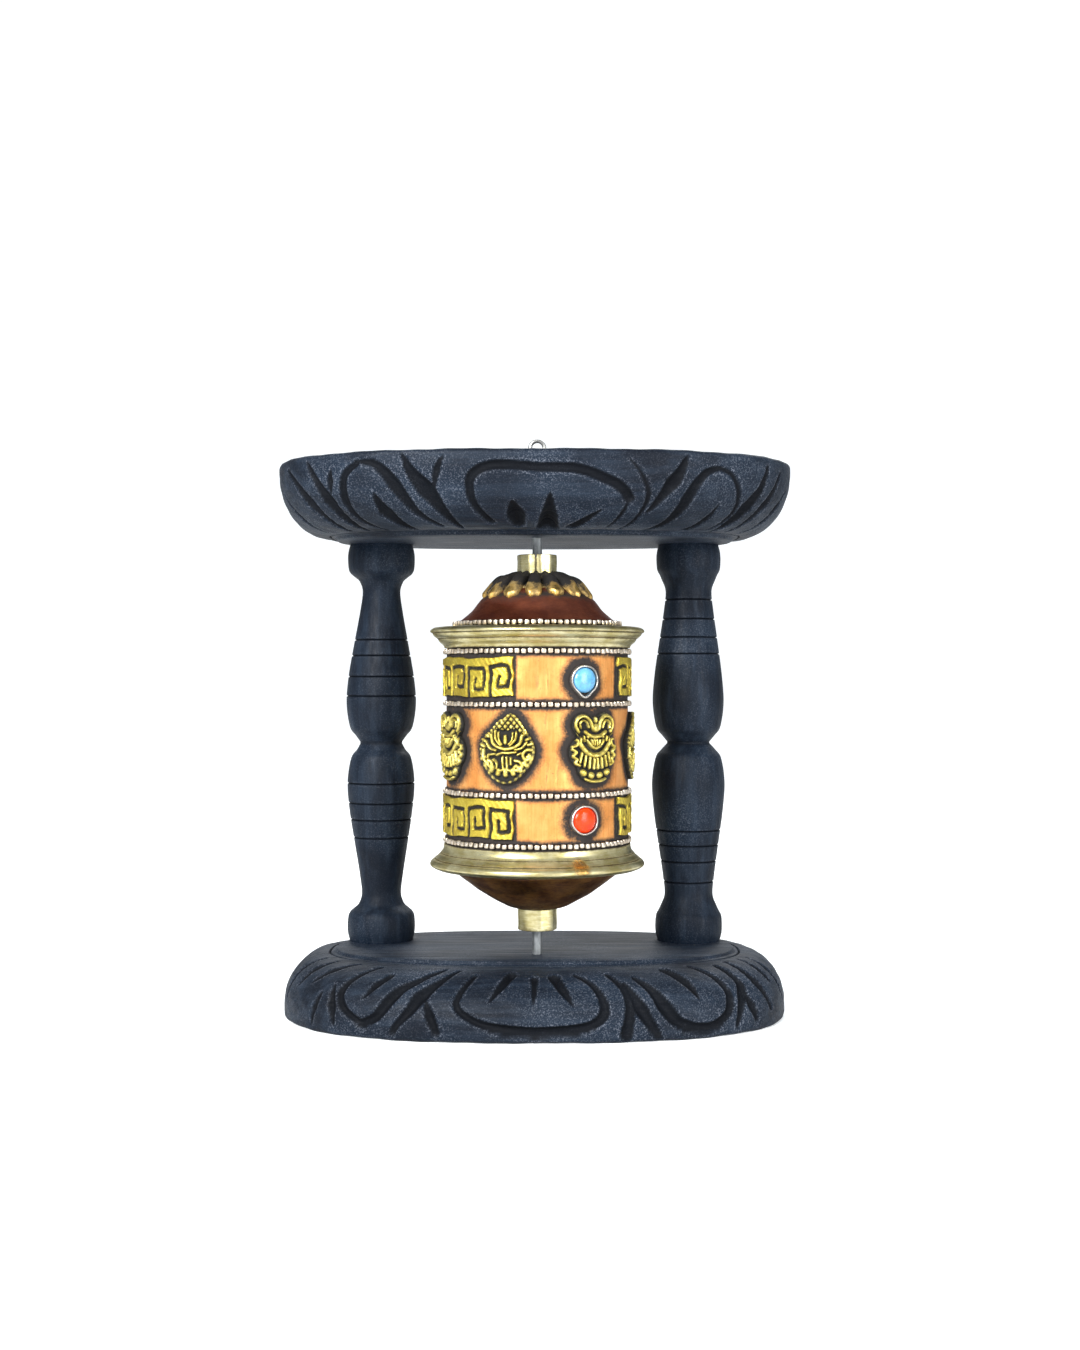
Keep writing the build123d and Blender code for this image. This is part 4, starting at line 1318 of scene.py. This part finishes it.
make_plaques("upper_fret", "upper_plaques", PLAQUE_BANDS[0], 1.0)
make_plaques("lower_fret", "lower_plaques", PLAQUE_BANDS[1], 4.0)

# %% [markdown]
# ## Medallions
# Four lotus drops and four treasure vases, cast in brass with a black ground. Their drawings
# are strokes from the middle of the plate, in millimetres. A polar grid, a spun disc pulled out
# to the outline, follows the rim exactly.

# %% Medallion drawings
LOTUS = [
    (1.3, [(-5.0, 4.6), (-4.4, 1.8), (-2.4, 0.3), (0, -0.3)]),
    (1.3, [(5.6, 4.4), (4.8, 1.6), (2.6, 0.2), (0, -0.3)]),
    (0.9, [(-3.5, 6.0), (-3.3, 3.2), (-1.6, 1.1)]), (0.9, [(3.8, 5.6), (3.4, 3.0), (1.6, 1.0)]),
    (0.7, [(-2.3, 5.6), (-2.2, 3.2), (-1.2, 1.4)]), (0.7, [(2.6, 5.4), (2.4, 3.0), (1.2, 1.4)]),
    (1.4, [(0, 4.2), (0, 1.9)]), (0.9, [(-6.6, 1.6), (-5.4, -0.1), (-3.4, -0.7)]),
    (0.9, [(7.2, 2.1), (5.6, 0.2), (3.4, -0.5)]),
    (1.0, [(-3.0, -2.3), (-1.2, -1.6), (1.2, -1.6), (3.6, -1.3)]), (0.8, [(-5.4, -2.2), (-3.9, -2.0)]),
    (0.8, [(5.4, -1.6), (4.2, -2.2)]), (0.8, [(-0.9, -3.0), (-0.8, -7.2)]),
    (0.8, [(0.5, -3.0), (0.6, -7.0)]),
    (0.8, [(1.9, -3.2), (1.9, -5.6)]), (1.0, [(-1.9, -7.9), (0, -7.2), (1.9, -7.9)]),
    (1.2, [(-8.1, -0.6), (-8.0, -3.2), (-6.6, -5.3), (-5.0, -6.5), (-4.9, -4.9), (-6.2, -4.2)]),
    (0.8, [(-6.0, -2.2), (-6.4, -3.3)]), (0.8, [(-4.2, -3.9), (-3.0, -5.2), (-3.1, -7.0)]),
    (1.1, [(-9.0, 1.3), (-7.7, 0.5)]), (1.1, [(-8.4, 3.1), (-6.9, 2.2)]),
    (1.0, [(-7.1, 4.9), (-5.9, 3.9)]),
    (1.2, [(8.9, -0.5), (7.1, -0.6), (5.9, -2.2), (6.8, -4.0), (8.5, -3.5), (8.0, -2.2)]),
    (1.2, [(3.3, -4.2), (5.0, -4.7), (5.7, -6.3), (4.3, -7.7), (2.9, -7.0), (3.7, -5.9)]),
    (1.0, [(9.2, 1.6), (7.7, 1.2)]), (1.0, [(8.4, 3.6), (7.0, 2.9)]), (1.0, [(7.0, 5.3), (6.0, 4.5)]),
]
for k in range(9):                          # lobes along the lower rim
    turned = radians(205 + k * 16.3)
    LOTUS.append(
        (1.9, [(9.6 * cos(turned), 0.4 + 9.6 * sin(turned)), (8.5 * cos(turned), 0.5 + 8.5 * sin(turned))])
    )

VASE = mirrored([
    (1.3, [(-1.3, 6.6), (-2.2, 9.4), (-4.4, 11.0), (-6.9, 10.2), (-7.7, 7.8), (-6.6, 5.6)]),
    (0.8, [(-2.9, 7.0), (-3.6, 8.9), (-5.0, 9.6), (-6.2, 8.4), (-5.8, 6.8)]),
    (1.2, [(-7.3, 4.4), (-8.4, 3.4), (-6.9, 2.5), (-7.2, 1.0), (-8.9, 0.4)]),
    (1.2, [(-8.9, -0.4), (-7.4, -1.5), (-8.8, -2.8), (-7.2, -3.9), (-7.8, -5.2), (-6.3, -6.0)]),
    (1.0, [(-5.6, 3.4), (-5.9, 1.6), (-5.7, 0.4)]),
    (1.9, [(-6.0, 1.4), (-4.0, -1.1), (-2.0, -2.3), (0, -2.7)]),
    (1.6, [(-4.2, 5.5), (-2.2, 4.2), (0, 3.8)]),
    (1.2, [(-3.4, 2.6), (-1.8, 0.6), (0, -0.2)]), (0.75, [(-0.5, 2.7), (-0.45, 1.0)]),
    (0.75, [(-1.6, 2.7), (-1.3, 1.3)]),
    (0.9, [(-4.7, 4.0), (-4.5, 2.4)]), (0.8, [(-3.2, 3.7), (-3.1, 3.6)]),
    (1.0, [(-0.7, -3.9), (-0.8, -7.2)]), (1.0, [(-2.3, -3.5), (-2.7, -7.0)]),
    (1.0, [(-3.9, -2.8), (-4.6, -6.4)]),
    (1.0, [(-5.4, -1.7), (-6.2, -5.0)]), (2.6, [(-5.2, -8.4), (-4.6, -8.8)]),
    (2.5, [(-1.9, -9.5), (-1.6, -9.6)]),
    (1.1, [(-4.0, -10.9), (-2.0, -11.6), (0, -11.7)]),
]) + [(3.4, [(-0.2, 6.9), (0.2, 6.9)]), (1.3, [(0, 9.2), (0, 10.2)])]


def lattice(u, v):
    """The netted tip of the drop: gold with two sets of thin dark lines across it."""
    line = np.minimum(abs((u * 0.75 + v * 0.6) % 1.5 - 0.75), abs((u * 0.75 - v * 0.6) % 1.5 - 0.75))
    netted = np.clip((line - 0.16) / 0.16, 0, 1)
    inside = (v > 6.3 + 0.05 * u**2) | (v > 12.8 - 1.5 * abs(u))
    return np.where(inside & (v > 5.2), 0.25 + 0.65 * netted, 0)


# %% [markdown]
# The plate is a disc of unit radius on a polar grid. Its rim is pulled out to the outline, the
# drawing is raised from it, and an outer skirt falls to the copper.

# %% Medallions
def make_medallions(name, node, radius_of, middle, angles, drawing, rim_ridge, tip_net):
    steps, rings = 168, 46
    whole = bmesh.new()
    for number, angle in enumerate(angles):
        outline = [(share, 0) for share in np.linspace(0, 1, rings)] + [(1, -0.5), (1, -1)]
        bm = turn(outline, steps)
        place = np.array([vert.co for vert in bm.verts])
        share = np.hypot(place[:, 0], place[:, 1])
        direction = np.arctan2(place[:, 1], place[:, 0])
        reach = np.array([radius_of(d) for d in direction])
        u = place[:, 0] * reach
        v = place[:, 1] * reach + middle
        relief = ridges(u, v, drawing)
        if tip_net:
            relief = np.maximum(relief, lattice(u, v))
        from_rim = (1 - share) * reach
        beading = 0.75 + 0.25 * np.sin(direction * 34 + number)
        relief = np.maximum(
            relief, rim_ridge * beading * np.clip(1 - (abs(from_rim - 0.55) / 0.62) ** 2, 0, 1) ** 0.5
        )
        crumble = 0.08 * np.sin(u * 2.1 + number) * np.sin(v * 1.7 + number)
        height = 0.95 + (PLATE_STAND - 0.95) * relief * (0.92 + crumble)
        layer = bm.verts.layers.float.new("cut")
        for i, vert in enumerate(bm.verts):
            skirt = -place[i, 2]
            vert.co = (u[i], v[i], height[i] * (1 - skirt) - 0.05 * skirt)
            vert[layer] = 1.0 if skirt > 0.4 else 1 - min(1, 1.1 * relief[i] ** 1.7)
        bend(bm, angle, MEDALLION_HEIGHT)
        join(whole, bm)
    return make_piece(name, whole, "wheel", cast_brass, [node], 80)


make_medallions("lotus_drops", "lotus_medallions", drop_radius, 0.0, LOTUS_ANGLES, LOTUS, 0.75, True)
make_medallions(
    "treasure_vases", "vase_medallions", vase_radius, VASE_MIDDLE, VASE_ANGLES, VASE, 0.3, False
)

# %% [markdown]
# ## Stones
# Turquoise above, coral below. Each is a flat-topped cabochon in a thin strip of metal; the
# turquoise strip is bent to a point below. The turquoise is waxy with thin brown veins, the
# coral glossy and even.

# %% Stone materials
def stone_group(name, colours, vein, vein_amount):
    group, given, result = new_group(
        name, [("Float", "Vein Amount", vein_amount)],
        [("Color", "Colour"), ("Float", "Roughness"), ("Float", "Height")]
    )
    place = add_node(group, "ShaderNodeTexCoord").outputs["Object"]
    cloud = noise(group, place, 420, 4, 0.6)
    bend_by = add_node(group, "ShaderNodeTexNoise", {"Vector": place, "Scale": 500}).outputs["Color"]
    bent = mix_colour(group, 0.004, place, bend_by, "ADD")
    cells = add_node(
        group, "ShaderNodeTexVoronoi", {"Vector": bent, "Scale": 330}, feature="DISTANCE_TO_EDGE"
    ).outputs["Distance"]
    veins = calculate(
        group, "MULTIPLY", remap(group, cells, 0.0, 0.05, 1, 0), remap(group, cloud, 0.45, 0.6)
    )
    veins = calculate(group, "MULTIPLY", veins, given["Vein Amount"])
    body = mix_colour(group, remap(group, cloud, 0.35, 0.65), (*colours[0], 1), (*colours[1], 1))
    group.links.new(mix_colour(group, veins, body, (*vein, 1)), result["Colour"])
    group.links.new(remap(group, noise(group, place, 1200), 0.3, 0.7, 0.16, 0.3), result["Roughness"])
    group.links.new(calculate(group, "SUBTRACT", cloud, veins), result["Height"])
    return group


turquoise_stone = finish_material(
    "turquoise_stone",
    stone_group("turquoise_body", [(0.15, 0.44, 0.72), (0.09, 0.33, 0.60)], (0.12, 0.10, 0.07), 0.7),
    {}, (0.25, 0.06), coat=0.3,
)
coral_stone = finish_material(
    "coral_stone",
    stone_group("coral_body", [(0.95, 0.055, 0.0015), (0.80, 0.03, 0.001)], (0.45, 0.03, 0.0), 0.25),
    {}, (0.15, 0.05), coat=0.2, specular=0.3,
)

# %% [markdown]
# Each stone and its strip are turned and then bent onto the drum, and both stones of a colour
# are joined into one mesh. The strip is dark where it meets the copper.

# %% Stones and bezels
def make_stones(kind, height, pointed, stone_radius, stone_material):
    stones, bezels = bmesh.new(), bmesh.new()
    for angle in STONE_ANGLES:
        top = [
            (0, 2.72), (1.2, 2.68), (2.2, 2.56), (3.0, 2.34), (3.6, 2.02), (4.0, 1.6),
            (stone_radius, 1.0), (stone_radius, -0.05)
        ]
        stone = turn(top, 64)
        strip = turn(
            [(4.5, -0.05), (4.5, 1.7), (4.6, 1.88), (4.85, 1.95), (5.1, 1.85), (5.2, 1.6), (5.2, -0.05)],
            96, closed=True
        )
        for vert in strip.verts:
            below = max(0, -vert.co.y / vert.co.xy.length) if pointed else 0
            vert.co.xy *= 1 + 0.24 * below**14 + 0.012 * sin(5 * math.atan2(vert.co.y, vert.co.x) + angle)
        for source, whole in ((stone, stones), (strip, bezels)):
            layer = source.verts.layers.float.new("cut")
            for vert in source.verts:
                vert[layer] = 0.0 if source is stone or vert.co.z > 1.4 else 0.9
            bend(source, angle, height)
            join(whole, source)
    make_piece(kind + "_cabochons", stones, "wheel", stone_material, [kind + "_stones"], 50)
    make_piece(kind + "_settings", bezels, "wheel", bezel_silver, [kind + "_bezels"], 50)


make_stones("turquoise", TURQUOISE_HEIGHT, True, 4.45, turquoise_stone)
make_stones("coral", CORAL_HEIGHT, False, 4.5, coral_stone)

# %% [markdown]
# ## Eye and spindle
# A screw eye of thin steel wire stands on the top board: a ring, with a straight shank below.

# %% Eye
def make_eye():
    high = span("hanging_eye")[1]
    wire = 0.72
    centre_z = high.z - 2.6 - wire
    bm = turn(
        [(2.6 + wire * cos(a), wire * sin(a)) for a in np.linspace(0, 2 * pi, 16, endpoint=False)], 64,
        closed=True
    )
    bmesh.ops.rotate(bm, verts=bm.verts, cent=(0, 0, 0), matrix=Matrix.Rotation(pi / 2, 3, "X"))
    bmesh.ops.translate(bm, verts=bm.verts, vec=(0, 0, centre_z))
    shank = turn(
        [(0, centre_z - 2.5), (wire, centre_z - 2.7), (wire, TOTAL_HEIGHT - 9), (0, TOTAL_HEIGHT - 9.5)],
        24
    )
    join(bm, shank)
    to_drum(bm)
    return make_piece("screw_eye", bm, "stand", bright_steel, ["hanging_eye"])


make_eye()

# %% [markdown]
# The spindle, its stop ring, the washer, the bushes, the core and the paper roll stay as the
# CAD model has them. They only need their materials.

# %% Materials of the parts carried over
def build_paper_group():
    group, given, result = new_group(
        "printed_roll", [("Float", "Age", 0.5)],
        [("Color", "Colour"), ("Float", "Roughness"), ("Float", "Height")]
    )
    place = add_node(group, "ShaderNodeTexCoord").outputs["Object"]
    layers = noise(group, stretched(group, place, (1, 1, 0.1)), 900, 3, 0.6)
    cloud = calculate(group, "MULTIPLY", noise(group, place, 60), given["Age"])
    age = remap(group, calculate(group, "ADD", layers, cloud), 0.5, 1.1)
    group.links.new(mix_colour(group, age, (0.72, 0.62, 0.43, 1), (0.5, 0.38, 0.22, 1)), result["Colour"])
    group.links.new(remap(group, layers, 0, 1, 0.8, 0.95), result["Roughness"])
    group.links.new(layers, result["Height"])
    return group


roll_paper = finish_material("roll_paper", build_paper_group(), {}, (0.3, 0.1))
carried_over = {
    "spindle": rough_steel, "spindle_stop": rough_steel, "thrust_washer": pale_brass,
    "upper_bush": pale_brass, "lower_bush": pale_brass, "core_tube": brown_copper,
    "paper_scroll": roll_paper,
}
for node, material in carried_over.items():
    mesh = bpy.data.objects[node].data
    mesh.materials.clear()
    mesh.materials.append(material)
print("carried over:", ", ".join(carried_over))
